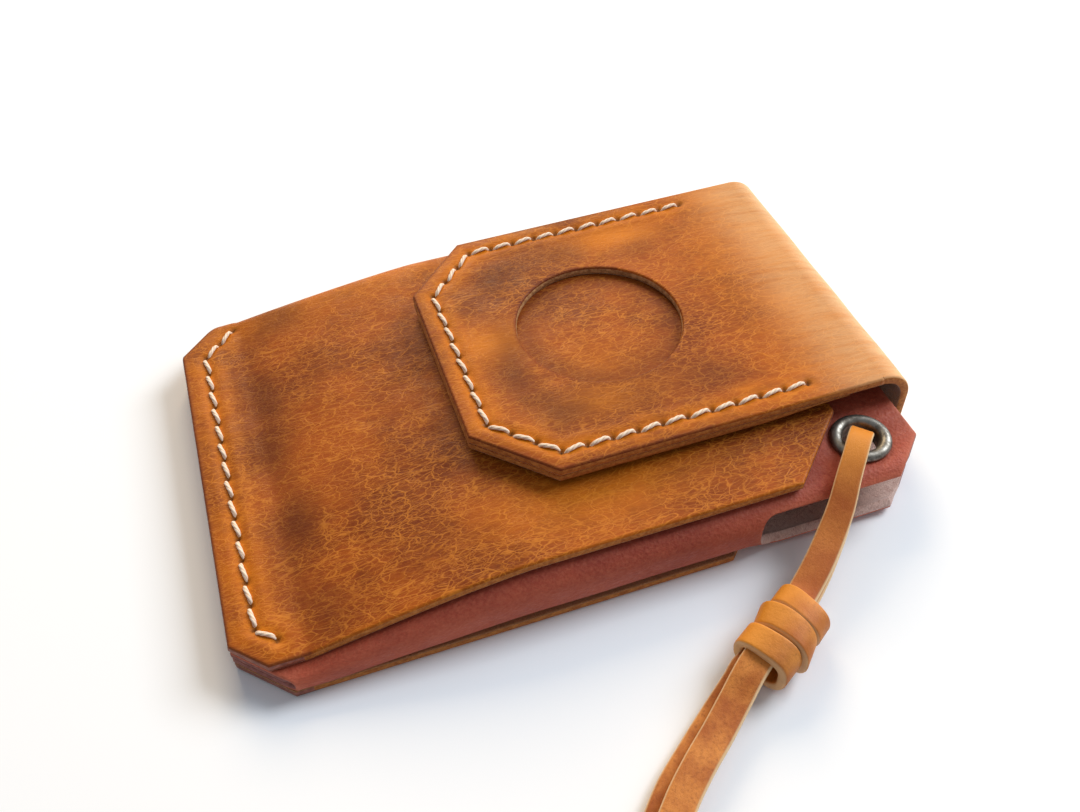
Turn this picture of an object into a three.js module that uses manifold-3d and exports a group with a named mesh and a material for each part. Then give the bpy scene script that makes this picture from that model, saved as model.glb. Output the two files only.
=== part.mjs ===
// A leather card wallet: a folded shell whose strap bends over to make the flap, a folded card pocket
// with an eyelet tab, and a lanyard with a coil knot.
// Millimetres. X runs from the sewn end to the bend of the flap, Y from the front fold to the spine, Z up.
import * as THREE from "three";
import { mergeVertices } from "three/addons/utils/BufferGeometryUtils.js";
import Module from "manifold-3d";

const wasm = await Module();
wasm.setup();

// Leather thicknesses
const shell_leather = 1.4;
const pocket_leather = 1.2;
const lining_leather = 0.9;

// Room between layers
const sewn_gap = 0.1; // where the body seam pulls them together
const resting_gap = 0.3; // where one lies on the other
const flap_layer_gap = 0.2; // between the flap and its lining
const under_flap_gap = 0.9; // under the lining, where the flap's stitches show
const card_space = 4.4;
const note_space = 0.6;

// Body
const panel_length = 89;
const body_width = 70;
const seam_margin = 0.9; // flat leather past the last hole of the body seam, before the panels part
const rise_length = 30; // length over which the panels part
const panel_inset = 2.5; // top panel's front edge, behind the front fold
const back_inset = 0.3; // back panel's front edge, behind the front fold
const end_chamfer = 7;
const panel_chamfer = 10.5;
const back_length = 68;

// Card pocket
const pocket_length = 99;
const tab_chamfer = 6.5;
const notch_start = 71.8;
const notch_corner = 2;
const notch_margin = 0.1; // how much taller the notch is than the card space

// Strap and flap
const strap_width = 51.4;
const bend_room = 1.5; // between the pocket's end and the inside of the bend
const lower_bend = 3.2; // bend radii, at the middle of the leather
const upper_bend = 4.5;
const flap_length = 59.4;
const flap_chamfer = 10;
const window_diameter = 25.5;
const window_from_tip = 25.4;
const lining_length = 54;
const joint_gap = 0.3; // between the bend and the pieces it joins

// Eyelet
const eyelet_from_end = 8.1;
const eyelet_from_front = 8.2;
const eyelet_bore = 5.2;
const eyelet_diameter = 8.8;
const eyelet_wall = 0.35;
const eyelet_rise = 0.9;
const eyelet_clearance = 0.1;
const washer_thickness = 0.4;
const washer_diameter = 8.4;

// Stitching
const thread = 0.7;
const thread_clearance = 0.12;
const body_seam_inset = 3.6;
const flap_seam_inset = 3;
const body_seam_stitches = [2, 14, 1]; // on the back chamfer, along the end, on the front chamfer
const flap_seam_stitches = [10, 3, 8, 3, 10]; // back row, chamfer, tip row, chamfer, front row
const corner_pitch = 3.6; // on the chamfers of the body seam
const row_pitch = 3.75; // on the long rows of the flap
const leg_share = 0.8; // a leg's width as a share of the thread above and below
const thread_sink = 0.08; // how far the bottom stitches of the body seam lie inside the leather
const thread_show = 0.05; // height of a top stitch's middle above the leather

// Lanyard
const lace_width = 4;
const lace_thickness = 1.6;
const lace_corner = 0.35; // cut off each corner of the lace's section
const loop_roll_up = [0.2, 0.36]; // shares of the wrist loop over which it turns on edge
const loop_roll_back = [0.64, 0.8]; // and over which it turns flat again
const knot_width = 7.2;
const knot_height = 6.6;
const knot_length = 12;

// Worked out from the sizes above
const corner_run = Math.max(body_seam_stitches[0], body_seam_stitches[2]) * corner_pitch * Math.SQRT1_2;
const seam_flat = body_seam_inset + corner_run + seam_margin;
const stack_height = 2 * (shell_leather + pocket_leather) + 3 * sewn_gap;
const pocket_height = 2 * pocket_leather + card_space;
const full_height = 2 * shell_leather + resting_gap + pocket_height + note_space;
const pocket_top = shell_leather + resting_gap + pocket_height;
const spine_line = body_width - full_height / 2; // where the flat panels end and the spine fold begins
const strap_front = spine_line - strap_width;
const lining_bottom = full_height + under_flap_gap;
const flap_bottom = lining_bottom + lining_leather + flap_layer_gap;
const flap_top = flap_bottom + shell_leather;
const overall_length = pocket_length + bend_room + shell_leather;
const bend_middle = overall_length - shell_leather / 2;
const strap_end = bend_middle - lower_bend; // where the back panel's strap starts to bend
const flap_end = bend_middle - upper_bend; // where the flap lies flat again
const flap_tip = flap_end - flap_length;
const eyelet_x = pocket_length - eyelet_from_end;

const COGNAC = { color: 0xb0602c, roughness: 0.5, metalness: 0 };
const CHESTNUT = { color: 0x9a4a38, roughness: 0.55, metalness: 0 };
const CREAM_THREAD = { color: 0xebdcc8, roughness: 0.7, metalness: 0 };
const OLD_NICKEL = { color: 0x6e6a60, roughness: 0.3, metalness: 1 };
const OCHRE_LACE = { color: 0xc8823c, roughness: 0.6, metalness: 0 };

const wallet = new THREE.Group();
wallet.position.set(-overall_length / 2, -body_width / 2, 0);

/** Turns a closed geometry into a manifold solid, with its faces pointing out. */
function solid(geometry) {
  const bare = geometry.clone();
  bare.deleteAttribute("normal");
  bare.deleteAttribute("uv");
  const merged = mergeVertices(bare, 1e-4);
  const triangles = new Uint32Array(merged.index.array);
  const build = () =>
    new wasm.Manifold(
      new wasm.Mesh({
        numProp: 3,
        vertProperties: merged.attributes.position.array,
        triVerts: triangles,
      }),
    );
  const made = build();
  if (made.volume() > 0) return made;
  for (let i = 0; i < triangles.length; i += 3) {
    [triangles[i + 1], triangles[i + 2]] = [triangles[i + 2], triangles[i + 1]];
  }
  return build();
}

/** Adds a named piece to the wallet. */
function add_piece(name, made, finish) {
  const mesh = made.getMesh();
  const geometry = new THREE.BufferGeometry();
  geometry.setAttribute("position", new THREE.BufferAttribute(new Float32Array(mesh.vertProperties), 3));
  geometry.setIndex(new THREE.BufferAttribute(new Uint32Array(mesh.triVerts), 1));
  geometry.computeVertexNormals();
  const piece = new THREE.Mesh(geometry, new THREE.MeshStandardMaterial(finish));
  piece.name = name;
  wallet.add(piece);
}

/** A flat outline raised from one height to another. */
function prism(points, bottom, top, holes = []) {
  const shape = new THREE.Shape(points.map(([x, y]) => new THREE.Vector2(x, y)));
  shape.holes.push(...holes);
  const options = { depth: top - bottom, bevelEnabled: false, curveSegments: 24 };
  return solid(new THREE.ExtrudeGeometry(shape, options).translate(0, 0, bottom));
}

/** A round outline for a hole. */
function circle(x, y, radius) {
  return new THREE.Path().absarc(x, y, radius, 0, 2 * Math.PI, false);
}

/** An upright round peg, used to cut holes. */
function peg(x, y, radius, bottom, top) {
  const height = top - bottom;
  const geometry = new THREE.CylinderGeometry(radius, radius, height, 24);
  return solid(geometry.rotateX(Math.PI / 2).translate(x, y, bottom + height / 2));
}

/** From a value at the sewn end to another where the panels have parted: soon at first, then levelling off. */
function along(sewn_value, parted_value, x) {
  const t = THREE.MathUtils.clamp((x - seam_flat) / rise_length, 0, 1);
  const share = (t + Math.sin((t * Math.PI) / 2)) / 2;
  return sewn_value + (parted_value - sewn_value) * share;
}

const shell_height_at = (x) => along(stack_height, full_height, x);
const pocket_floor_at = (x) => along(shell_leather + sewn_gap, shell_leather + resting_gap, x);
const pocket_height_at = (x) => along(2 * pocket_leather + sewn_gap, pocket_height, x);

/** Places along X where a folded sheet has a section: close together where the panels part. */
function stations(length) {
  const rise_steps = 12;
  const step = rise_length / rise_steps;
  const parting = Array.from({ length: rise_steps + 1 }, (_, i) => seam_flat + step * i);
  return [0, ...parting, length];
}

/**
 * A sheet folded once, lengthwise: a lower leaf, a half-round fold and an upper leaf.
 * The fold is on the side of higher Y when side is 1 and of lower Y when side is -1.
 */
function folded_sheet({ length, fold_y, side, floor_at, height_at, thickness, lower_edge, upper_edge }) {
  const xs = stations(length);
  const arc_steps = 10;
  const sections = arc_steps + 2;
  const geometry = new THREE.BoxGeometry(1, 1, 1, xs.length - 1, sections, 1);
  const position = geometry.attributes.position;
  for (let i = 0; i < position.count; i += 1) {
    const x = xs[Math.round((position.getX(i) + 0.5) * (xs.length - 1))];
    const section = Math.round((position.getY(i) + 0.5) * sections);
    const depth = position.getZ(i) > 0 ? thickness : 0;
    const radius = height_at(x) / 2;
    const middle_y = fold_y - side * radius;
    const middle_z = floor_at(x) + radius;
    const turn = THREE.MathUtils.clamp(section - 1, 0, arc_steps);
    const angle = Math.PI * (turn / arc_steps - 0.5);
    const z = middle_z + (radius - depth) * Math.sin(angle);
    let y = middle_y + side * (radius - depth) * Math.cos(angle);
    if (section === 0) y = lower_edge;
    if (section === sections) y = upper_edge;
    position.setXYZ(i, x, y, z);
  }
  return solid(geometry);
}

/** The two corners cut off the sewn end, through every layer. */
function cut_sewn_corners(leather) {
  const high = full_height + 1;
  const reach = end_chamfer + 1;
  const front = [
    [-1, -1],
    [reach, -1],
    [-1, reach],
  ];
  const back = front.map(([x, y]) => [x, body_width - y]);
  return leather.subtract(prism(front, -1, high)).subtract(prism(back, -1, high));
}

/** Holes spaced evenly along a seam; counts gives the stitches on each side of its outline. */
function holes_along({ corners, counts }) {
  const holes = [corners[0]];
  counts.forEach((count, side) => {
    const [x0, y0] = corners[side];
    const [x1, y1] = corners[side + 1];
    for (let i = 1; i <= count; i += 1) {
      holes.push([x0 + ((x1 - x0) * i) / count, y0 + ((y1 - y0) * i) / count]);
    }
  });
  return holes;
}

/** Saddle stitching as one solid: thread above and below each side, and a leg through every hole. */
function stitching(seam, size) {
  const { corners, low, high } = seam;
  const leg = size * leg_share;
  const parts = holes_along(seam).map(([x, y]) =>
    new THREE.BoxGeometry(leg, leg, high - low).translate(x, y, (high + low) / 2),
  );
  for (let i = 1; i < corners.length; i += 1) {
    const [x0, y0] = corners[i - 1];
    const [x1, y1] = corners[i];
    const length = Math.hypot(x1 - x0, y1 - y0) + size;
    const bar = new THREE.BoxGeometry(length, size, size).rotateZ(Math.atan2(y1 - y0, x1 - x0));
    for (const z of [low, high]) {
      parts.push(bar.clone().translate((x0 + x1) / 2, (y0 + y1) / 2, z));
    }
  }
  return parts.map(solid).reduce((joined, part) => joined.add(part));
}

/** How far a corner of 45 degrees moves along its side when an outline is drawn further in. */
const corner_shift = (inset) => inset * Math.tan(Math.PI / 8);

/** Corners of the body seam, from the spine to the front. */
function body_seam_corners() {
  const x = body_seam_inset;
  const front_corner = end_chamfer + corner_shift(body_seam_inset);
  const back_corner = body_width - front_corner;
  const [back_count, , front_count] = body_seam_stitches;
  const back_run = back_count * corner_pitch * Math.SQRT1_2;
  const front_run = front_count * corner_pitch * Math.SQRT1_2;
  return [
    [x + back_run, back_corner + back_run],
    [x, back_corner],
    [x, front_corner],
    [x + front_run, front_corner - front_run],
  ];
}

/** Corners of the flap seam, from the bend along the back row, round the tip and back. */
function flap_seam_corners() {
  const x = flap_tip + flap_seam_inset;
  const shift = flap_chamfer - flap_seam_inset + corner_shift(flap_seam_inset);
  const front = strap_front + flap_seam_inset;
  const back = spine_line - flap_seam_inset;
  const [back_count] = flap_seam_stitches;
  const row_end = x + shift + back_count * row_pitch;
  return [
    [row_end, back],
    [x + shift, back],
    [x, back - shift],
    [x, front + shift],
    [x + shift, front],
    [row_end, front],
  ];
}

const body_seam = {
  corners: body_seam_corners(),
  counts: body_seam_stitches,
  low: thread / 2 + thread_sink,
  high: stack_height + thread_show,
};
const flap_seam = {
  corners: flap_seam_corners(),
  counts: flap_seam_stitches,
  low: lining_bottom - thread_show,
  high: flap_top + thread_show,
};
const groove = thread + 2 * thread_clearance;
const body_seam_cut = stitching(body_seam, groove);
const flap_seam_cut = stitching(flap_seam, groove);

/** Top panel, spine fold, back panel and the root of the strap. */
function outer_shell() {
  const sheet = folded_sheet({
    length: strap_end,
    fold_y: body_width,
    side: 1,
    floor_at: () => 0,
    height_at: shell_height_at,
    thickness: shell_leather,
    lower_edge: back_inset,
    upper_edge: panel_inset,
  });
  const beyond = strap_end + 1;
  const middle = full_height / 2;
  const past_panel = [
    [panel_length - panel_chamfer - 1, panel_inset - 1],
    [beyond, panel_inset - 1],
    [beyond, body_width + 1],
    [panel_length, body_width + 1],
    [panel_length, panel_inset + panel_chamfer],
  ];
  const behind_strap = [
    [panel_length, spine_line],
    [beyond, spine_line],
    [beyond, body_width + 1],
    [panel_length, body_width + 1],
  ];
  const before_strap = [
    [back_length - 1, back_inset - 1],
    [beyond, back_inset - 1],
    [beyond, strap_front],
    [back_length + strap_front - back_inset, strap_front],
  ];
  return cut_sewn_corners(sheet)
    .subtract(prism(past_panel, middle, full_height + 1))
    .subtract(prism(behind_strap, -1, full_height + 1))
    .subtract(prism(before_strap, -1, middle))
    .subtract(body_seam_cut);
}

/** The finger notch in the front fold: as tall as the card space and open at the tab's end. */
function notch() {
  const bottom = shell_leather + resting_gap + pocket_leather - notch_margin;
  const top = pocket_top - pocket_leather + notch_margin;
  const shape = new THREE.Shape();
  shape.moveTo(notch_start + notch_corner, bottom);
  shape.lineTo(pocket_length + 1, bottom);
  shape.lineTo(pocket_length + 1, top);
  const arc_x = notch_start + notch_corner;
  shape.lineTo(arc_x, top);
  shape.absarc(arc_x, top - notch_corner, notch_corner, Math.PI / 2, Math.PI, false);
  shape.absarc(arc_x, bottom + notch_corner, notch_corner, Math.PI, 1.5 * Math.PI, false);
  const depth = 1 + pocket_height / 2;
  const geometry = new THREE.ExtrudeGeometry(shape, { depth, bevelEnabled: false, curveSegments: 5 });
  return solid(geometry.rotateX(Math.PI / 2).translate(0, depth - 1, 0));
}

/** The folded chestnut leather that holds the cards. */
function card_pocket() {
  const sheet = folded_sheet({
    length: pocket_length,
    fold_y: 0,
    side: -1,
    floor_at: pocket_floor_at,
    height_at: pocket_height_at,
    thickness: pocket_leather,
    lower_edge: spine_line,
    upper_edge: spine_line,
  });
  const tab_corner = [
    [pocket_length - tab_chamfer - 1, -1],
    [pocket_length + 1, -1],
    [pocket_length + 1, tab_chamfer + 1],
  ];
  const bore = eyelet_bore / 2 + eyelet_wall + eyelet_clearance;
  return cut_sewn_corners(sheet)
    .subtract(prism(tab_corner, -1, full_height))
    .subtract(notch())
    .subtract(peg(eyelet_x, eyelet_from_front, bore, full_height / 2, full_height))
    .subtract(body_seam_cut);
}

/** The strap where it bends over the open end: up round the pocket's end and over onto the flap. */
function flap_bend() {
  const half = shell_leather / 2;
  const low = half + lower_bend;
  const high = flap_top - half - upper_bend;
  const quarter = Math.PI / 2;
  const start = (radius) => joint_gap / radius - quarter;
  const end = (radius) => quarter - joint_gap / radius;
  const shape = new THREE.Shape();
  shape.absarc(strap_end, low, lower_bend + half, start(lower_bend), 0, false);
  shape.absarc(flap_end, high, upper_bend + half, 0, end(upper_bend), false);
  shape.absarc(flap_end, high, upper_bend - half, end(upper_bend), 0, true);
  shape.absarc(strap_end, low, lower_bend - half, 0, start(lower_bend), true);
  shape.closePath();
  const options = { depth: strap_width, bevelEnabled: false, curveSegments: 8 };
  const geometry = new THREE.ExtrudeGeometry(shape, options);
  return solid(geometry.rotateX(Math.PI / 2).translate(0, spine_line, 0));
}

/** The flap's outline, with its two tip corners cut off. */
function flap_outline(length) {
  return [
    [flap_tip, strap_front + flap_chamfer],
    [flap_tip + flap_chamfer, strap_front],
    [flap_tip + length, strap_front],
    [flap_tip + length, spine_line],
    [flap_tip + flap_chamfer, spine_line],
    [flap_tip, spine_line - flap_chamfer],
  ];
}

/** The flap's outer leather with its round window. */
function flap_outer() {
  const window_y = (strap_front + spine_line) / 2;
  const opening = circle(flap_tip + window_from_tip, window_y, window_diameter / 2);
  return prism(flap_outline(flap_length), flap_bottom, flap_top, [opening]).subtract(flap_seam_cut);
}

/** The lining under the flap. */
function flap_lining() {
  const lining_top = lining_bottom + lining_leather;
  return prism(flap_outline(lining_length), lining_bottom, lining_top).subtract(flap_seam_cut);
}

/** A closed profile of [radius, height] points turned round an upright axis through the eyelet. */
function turned(profile, z) {
  const points = [...profile, profile[0]].map(([r, h]) => new THREE.Vector2(r, h));
  const geometry = new THREE.LatheGeometry(points, 28);
  return solid(geometry.rotateX(Math.PI / 2).translate(eyelet_x, eyelet_from_front, z));
}

/** The eyelet: a domed rim, a barrel, and the lip rolled out under the washer. */
function eyelet() {
  const bore = eyelet_bore / 2;
  const barrel = bore + eyelet_wall;
  const rim = eyelet_diameter / 2;
  const dome = (rim - bore) / 2;
  const base = eyelet_clearance;
  const washer_bottom = -pocket_leather - 2 * eyelet_clearance - washer_thickness;
  const lip_top = washer_bottom - eyelet_clearance;
  const lip_bottom = lip_top - eyelet_wall;
  const crown_steps = 8;
  const crown = Array.from({ length: crown_steps + 1 }, (_, i) => {
    const angle = Math.PI * (1 - i / crown_steps);
    return [bore + dome + dome * Math.cos(angle), base + (eyelet_rise - base) * Math.sin(angle)];
  });
  const profile = [
    ...crown,
    [barrel, base],
    [barrel, lip_top],
    [barrel + eyelet_wall, lip_top],
    [barrel + eyelet_wall, lip_bottom],
    [bore, lip_bottom],
  ];
  return turned(profile, pocket_top);
}

/** The ring under the leather that the eyelet is set against. */
function eyelet_washer() {
  const inner = eyelet_bore / 2 + eyelet_wall + eyelet_clearance;
  const outer = washer_diameter / 2;
  const top = -pocket_leather - eyelet_clearance;
  const bottom = top - washer_thickness;
  return turned(
    [
      [inner, bottom],
      [outer, bottom],
      [outer, top],
      [inner, top],
    ],
    pocket_top,
  );
}

/** A smooth route whose flat side is set by a side direction at each point. */
class LaceRoute extends THREE.CatmullRomCurve3 {
  constructor(points, side_at) {
    super(points.map((p) => new THREE.Vector3(...p)), false, "centripetal");
    this.side_at = side_at;
  }

  computeFrenetFrames(segments) {
    const frames = { tangents: [], normals: [], binormals: [] };
    for (let i = 0; i <= segments; i += 1) {
      const tangent = this.getTangentAt(i / segments);
      const side = this.side_at(i / segments, tangent);
      side.addScaledVector(tangent, -side.dot(tangent)).normalize();
      frames.tangents.push(tangent);
      frames.binormals.push(side);
      frames.normals.push(new THREE.Vector3().crossVectors(side, tangent));
    }
    return frames;
  }
}

/** A flat lace along a route. */
function lace(route, steps) {
  const half_thick = lace_thickness / 2;
  const half_wide = lace_width / 2;
  const cut = lace_corner;
  const shape = new THREE.Shape([
    new THREE.Vector2(half_thick, -half_wide + cut),
    new THREE.Vector2(half_thick, half_wide - cut),
    new THREE.Vector2(half_thick - cut, half_wide),
    new THREE.Vector2(cut - half_thick, half_wide),
    new THREE.Vector2(-half_thick, half_wide - cut),
    new THREE.Vector2(-half_thick, cut - half_wide),
    new THREE.Vector2(cut - half_thick, -half_wide),
    new THREE.Vector2(half_thick - cut, -half_wide),
  ]);
  return solid(new THREE.ExtrudeGeometry(shape, { steps, extrudePath: route, bevelEnabled: false }));
}

// The lanyard's route is chosen by hand, in the wallet's own corner frame. The knot's axis lies along
// knot_heading, and both stretches stop a small gap short of its faces.
const knot_middle = new THREE.Vector3(67.2, -13.6, 3.5);
const knot_heading = new THREE.Vector3(-0.815, -0.58, 0).normalize();
const bight_points = [
  [73.0, -9.6, 4.5],
  [76.0, -7.3, 5.3],
  [79.3, -4.4, 6.4],
  [82.4, -1.4, 8.1],
  [85.0, 1.7, 9.8],
  [87.2, 4.2, 10.8],
  [89.2, 6.5, 11.0],
  [90.6, 8.0, 9.9],
  [91.0, 8.5, 8.0],
  [90.6, 8.0, 6.1],
  [89.2, 6.5, 5.0],
  [87.2, 4.2, 4.9],
  [84.8, 1.4, 4.8],
  [82.0, -1.8, 4.4],
  [79.0, -4.7, 3.7],
  [76.0, -7.4, 3.0],
  [73.1, -9.7, 2.6],
];
const wrist_points = [
  [61.6, -17.4, 4.3],
  [58.0, -20.2, 3.2],
  [54.3, -23.2, 2.8],
  [50.2, -26.4, 2.8],
  [46.2, -30.0, 2.8],
  [42.4, -34.6, 2.9],
  [40.6, -40.6, 2.9],
  [41.6, -47.4, 2.8],
  [44.8, -54.4, 2.6],
  [48.4, -61.6, 2.4],
  [50.8, -69.4, 2.3],
  [50.2, -77.6, 2.3],
  [45.6, -84.2, 2.3],
  [38.4, -86.4, 2.3],
  [31.6, -83.0, 2.3],
  [28.0, -76.0, 2.3],
  [27.8, -67.6, 2.3],
  [30.2, -59.4, 2.2],
  [33.6, -52.0, 1.6],
  [36.2, -45.2, 1.1],
  [38.4, -38.6, 0.95],
  [41.8, -32.6, 0.95],
  [46.2, -27.6, 0.95],
  [51.0, -23.8, 0.95],
  [55.6, -20.4, 1.1],
  [60.0, -17.4, 1.9],
  [61.2, -16.5, 2.3],
];

/** The doubled lace between the knot and the eyelet; its flat side follows the bight over the rim. */
function lanyard_bight() {
  const across = new THREE.Vector3(0.69, -0.72, 0);
  return lace(new LaceRoute(bight_points, () => across.clone()), 34);
}

/** The coil knot round both strands, as its outer shape. */
function lanyard_knot() {
  const geometry = new THREE.CylinderGeometry(knot_width / 2, knot_width / 2, knot_length, 16);
  geometry.rotateZ(Math.PI / 2).scale(1, 1, knot_height / knot_width);
  geometry.rotateZ(Math.atan2(knot_heading.y, knot_heading.x));
  return solid(geometry.translate(knot_middle.x, knot_middle.y, knot_middle.z));
}

/** The wrist loop: flat where its two strands lie on each other, and on edge round its far end. */
function wrist_loop() {
  const side_at = (u, tangent) => {
    const flat = new THREE.Vector3(tangent.y, -tangent.x, 0).normalize();
    const { smoothstep } = THREE.MathUtils;
    const rolled = smoothstep(u, ...loop_roll_up) * (1 - smoothstep(u, ...loop_roll_back));
    const roll = (rolled * Math.PI) / 2;
    return flat.multiplyScalar(Math.cos(roll)).add(new THREE.Vector3(0, 0, Math.sin(roll)));
  };
  return lace(new LaceRoute(wrist_points, side_at), 44);
}

add_piece("outer_shell", outer_shell(), COGNAC);
add_piece("flap_bend", flap_bend(), COGNAC);
add_piece("flap_outer", flap_outer(), COGNAC);
add_piece("flap_lining", flap_lining(), COGNAC);
add_piece("card_pocket", card_pocket(), CHESTNUT);
add_piece("eyelet", eyelet(), OLD_NICKEL);
add_piece("eyelet_washer", eyelet_washer(), OLD_NICKEL);
add_piece("body_seam_thread", stitching(body_seam, thread), CREAM_THREAD);
add_piece("flap_seam_thread", stitching(flap_seam, thread), CREAM_THREAD);
add_piece("lanyard_bight", lanyard_bight(), OCHRE_LACE);
add_piece("lanyard_knot", lanyard_knot(), OCHRE_LACE);
add_piece("wrist_loop", wrist_loop(), OCHRE_LACE);

export default wallet;
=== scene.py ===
"""A leather card wallet: a folded shell with a flap and a round window, a card pocket with an
eyelet, and a lanyard."""

import bpy
import numpy as np
from mathutils import Matrix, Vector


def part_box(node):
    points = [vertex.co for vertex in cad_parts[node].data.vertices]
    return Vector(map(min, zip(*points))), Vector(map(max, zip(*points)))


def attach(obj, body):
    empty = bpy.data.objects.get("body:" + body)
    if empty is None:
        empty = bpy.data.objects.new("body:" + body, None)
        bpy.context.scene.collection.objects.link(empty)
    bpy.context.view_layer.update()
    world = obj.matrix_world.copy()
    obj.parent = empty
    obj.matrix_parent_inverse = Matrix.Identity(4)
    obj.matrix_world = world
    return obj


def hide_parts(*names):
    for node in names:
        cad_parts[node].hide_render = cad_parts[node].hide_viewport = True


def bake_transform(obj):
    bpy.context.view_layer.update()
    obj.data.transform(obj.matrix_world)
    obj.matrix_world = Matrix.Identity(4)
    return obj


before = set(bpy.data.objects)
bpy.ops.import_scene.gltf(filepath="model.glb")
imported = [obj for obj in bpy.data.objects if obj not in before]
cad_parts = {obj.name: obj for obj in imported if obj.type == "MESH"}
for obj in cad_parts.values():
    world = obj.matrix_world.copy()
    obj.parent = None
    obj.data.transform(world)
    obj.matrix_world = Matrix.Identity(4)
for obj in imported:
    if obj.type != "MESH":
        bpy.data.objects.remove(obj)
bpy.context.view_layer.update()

# ---- sizes, in millimetres
# Places are measured from the wallet's sewn front corner: X to the bend of the flap, Y to the
# spine, Z up.
MM = 0.001
CORNER = np.array([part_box("outer_shell")[0][0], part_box("card_pocket")[0][1], 0.0]) / MM


def span(cad_node):
    """Lowest and highest corner of a CAD node, from the wallet's corner."""
    return [np.array(corner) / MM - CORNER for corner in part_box(cad_node)]


def in_metres(places):
    """Places in the part's own frame, as plain lists."""
    return ((np.array(places) + CORNER) * MM).tolist()


SHELL_LEATHER = 1.4
POCKET_LEATHER = 1.2
RESTING_GAP = 0.3
SEWN_GAP = 0.1
SEWN_HEIGHT = 2 * (SHELL_LEATHER + POCKET_LEATHER) + 3 * SEWN_GAP
FULL_HEIGHT = span("outer_shell")[1][2]
BODY_WIDTH = span("outer_shell")[1][1]
BACK_EDGE = span("outer_shell")[0][1]
PANEL_EDGE = 2.5
PANEL_END = 89.0
BACK_END = 68.0
END_CHAMFER = 7.0
PANEL_CHAMFER = 10.5
SPINE_LINE = BODY_WIDTH - FULL_HEIGHT / 2
STRAP_FRONT = span("flap_outer")[0][1]
STRAP_END = 98.0

POCKET_END = span("card_pocket")[1][0]
POCKET_TOP = span("card_pocket")[1][2]
POCKET_HEIGHT = POCKET_TOP - SHELL_LEATHER - RESTING_GAP
POCKET_FULLNESS = 0.5  # of its fold's lower half, where a half round has 1
TAB_CHAMFER = 6.5
NOTCH_START = 71.8
NOTCH_CORNER = 2.0
NOTCH_TURN = 0.743  # angle from the middle of the front fold to each side of the notch
NOTCH_SAG = 1.15

FLAP_TIP = span("flap_outer")[0][0]
FLAP_END = 96.7
FLAP_BOTTOM = span("flap_outer")[0][2]
FLAP_TOP = span("flap_outer")[1][2]
FLAP_CHAMFER = 10.0
WINDOW_MIDDLE = np.array([62.7, (STRAP_FRONT + SPINE_LINE) / 2])
WINDOW_RADIUS = 12.75
LINING_BOTTOM = span("flap_lining")[0][2]
LINING_END = span("flap_lining")[1][0]
LINING_SKIVE = 0.9  # how much thinner the lining gets over its last stretch
LOWER_BEND = 3.2
UPPER_BEND = 4.5
BEND_HIGH = FLAP_TOP - SHELL_LEATHER / 2 - UPPER_BEND
BEND_LOW = SHELL_LEATHER / 2 + LOWER_BEND
BEND_STRETCHES = [LOWER_BEND * np.pi / 2, BEND_HIGH - BEND_LOW, UPPER_BEND * np.pi / 2]
BEND_UPRIGHT, BEND_TURN, BEND_WHOLE = np.cumsum(BEND_STRETCHES)

BODY_SEAM_INSET = 3.6
FLAP_SEAM_INSET = 3.0
BODY_STITCHES = [2, 14, 1]
FLAP_STITCHES = [10, 3, 8, 3, 10]
CORNER_RUN = 3.6 * np.sqrt(0.5)  # a stitch on a cut corner, measured along the wallet
ROW_PITCH = 3.75
SEAM_MARGIN = 0.9
FLAT_END = BODY_SEAM_INSET + max(BODY_STITCHES[0], BODY_STITCHES[2]) * CORNER_RUN + SEAM_MARGIN
RISE_LENGTH = 30.0

EYELET = (span("eyelet")[0] + span("eyelet")[1]) / 2
EYELET_HOLE = 3.4  # in the leather
EYELET_BORE = 2.6
EYELET_WALL = 0.35
LACE_WIDTH = 4.0
LACE_THICKNESS = 1.6
LACE_NARROWING = 0.17  # share of its width, where it passes the eyelet
LACE_SPACING = 0.7
WRAP_WIDTH = 3.6
WRAP_THICKNESS = 1.35
FLOOR_GAP = 0.03

FINE = np.array([0.04, 0.1, 0.18, 0.3, 0.5, 0.8])  # distances of the fine rows beside an edge
HAIR = 0.012  # the row nearest a join, so close that the join can't be seen
TINY = 1e-6
EDGE_ROUNDING = 0.32
RIM_BULGE = 0.1
RIM_RINGS = 3
PATTERN_SCALE = 0.1  # of the leathers' patterns, for each millimetre
FLESH, RIM, OTHER_RIM = 1, 2, 3  # parts of a closed sheet after its grain, as its materials go

# ---- shapes from arrays


def smooth(x, start, end):
    """Goes from 0 at start to 1 at end on a cubic with level ends."""
    t = np.clip((x - start) / (end - start), 0, 1)
    return t * t * (3 - 2 * t)


def bell(x, width):
    """1 at zero, falling off on both sides as a bell curve of that width."""
    return np.exp(-((x / width) ** 2))


def spot(x, y, long, wide, size):
    """1 in the middle of a soft patch, which is stretched lengthwise and across."""
    return bell(np.hypot(x / long, y / wide), size)


def unit(vectors):
    """The same vectors, each of length 1."""
    return vectors / (np.linalg.norm(vectors, axis=-1, keepdims=True) + 1e-12)


def along(sewn, parted, x):
    """From the value at the sewn end to the one where the panels have parted, levelling off."""
    t = np.clip((x - FLAT_END) / RISE_LENGTH, 0, 1)
    return sewn + (parted - sewn) * (t + np.sin(t * np.pi / 2)) / 2


def graded(stops, step, fine=()):
    """Values from the first stop to the last, about a step apart, finer beside those in fine."""
    values = [np.array(stops, float)]
    for start, end in zip(stops[:-1], stops[1:]):
        values.append(np.linspace(start, end, max(2, int(np.ceil((end - start) / step)) + 1)))
    for place in fine:
        values += [place - FINE, place + FINE]
    values = np.unique(np.round(np.concatenate(values), 3))
    return values[(values >= stops[0] - 1e-9) & (values <= stops[-1] + 1e-9)]


def shares_of(offsets):
    """Distances along a row as shares of its length."""
    return (offsets - offsets[0]) / (offsets[-1] - offsets[0])


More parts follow.
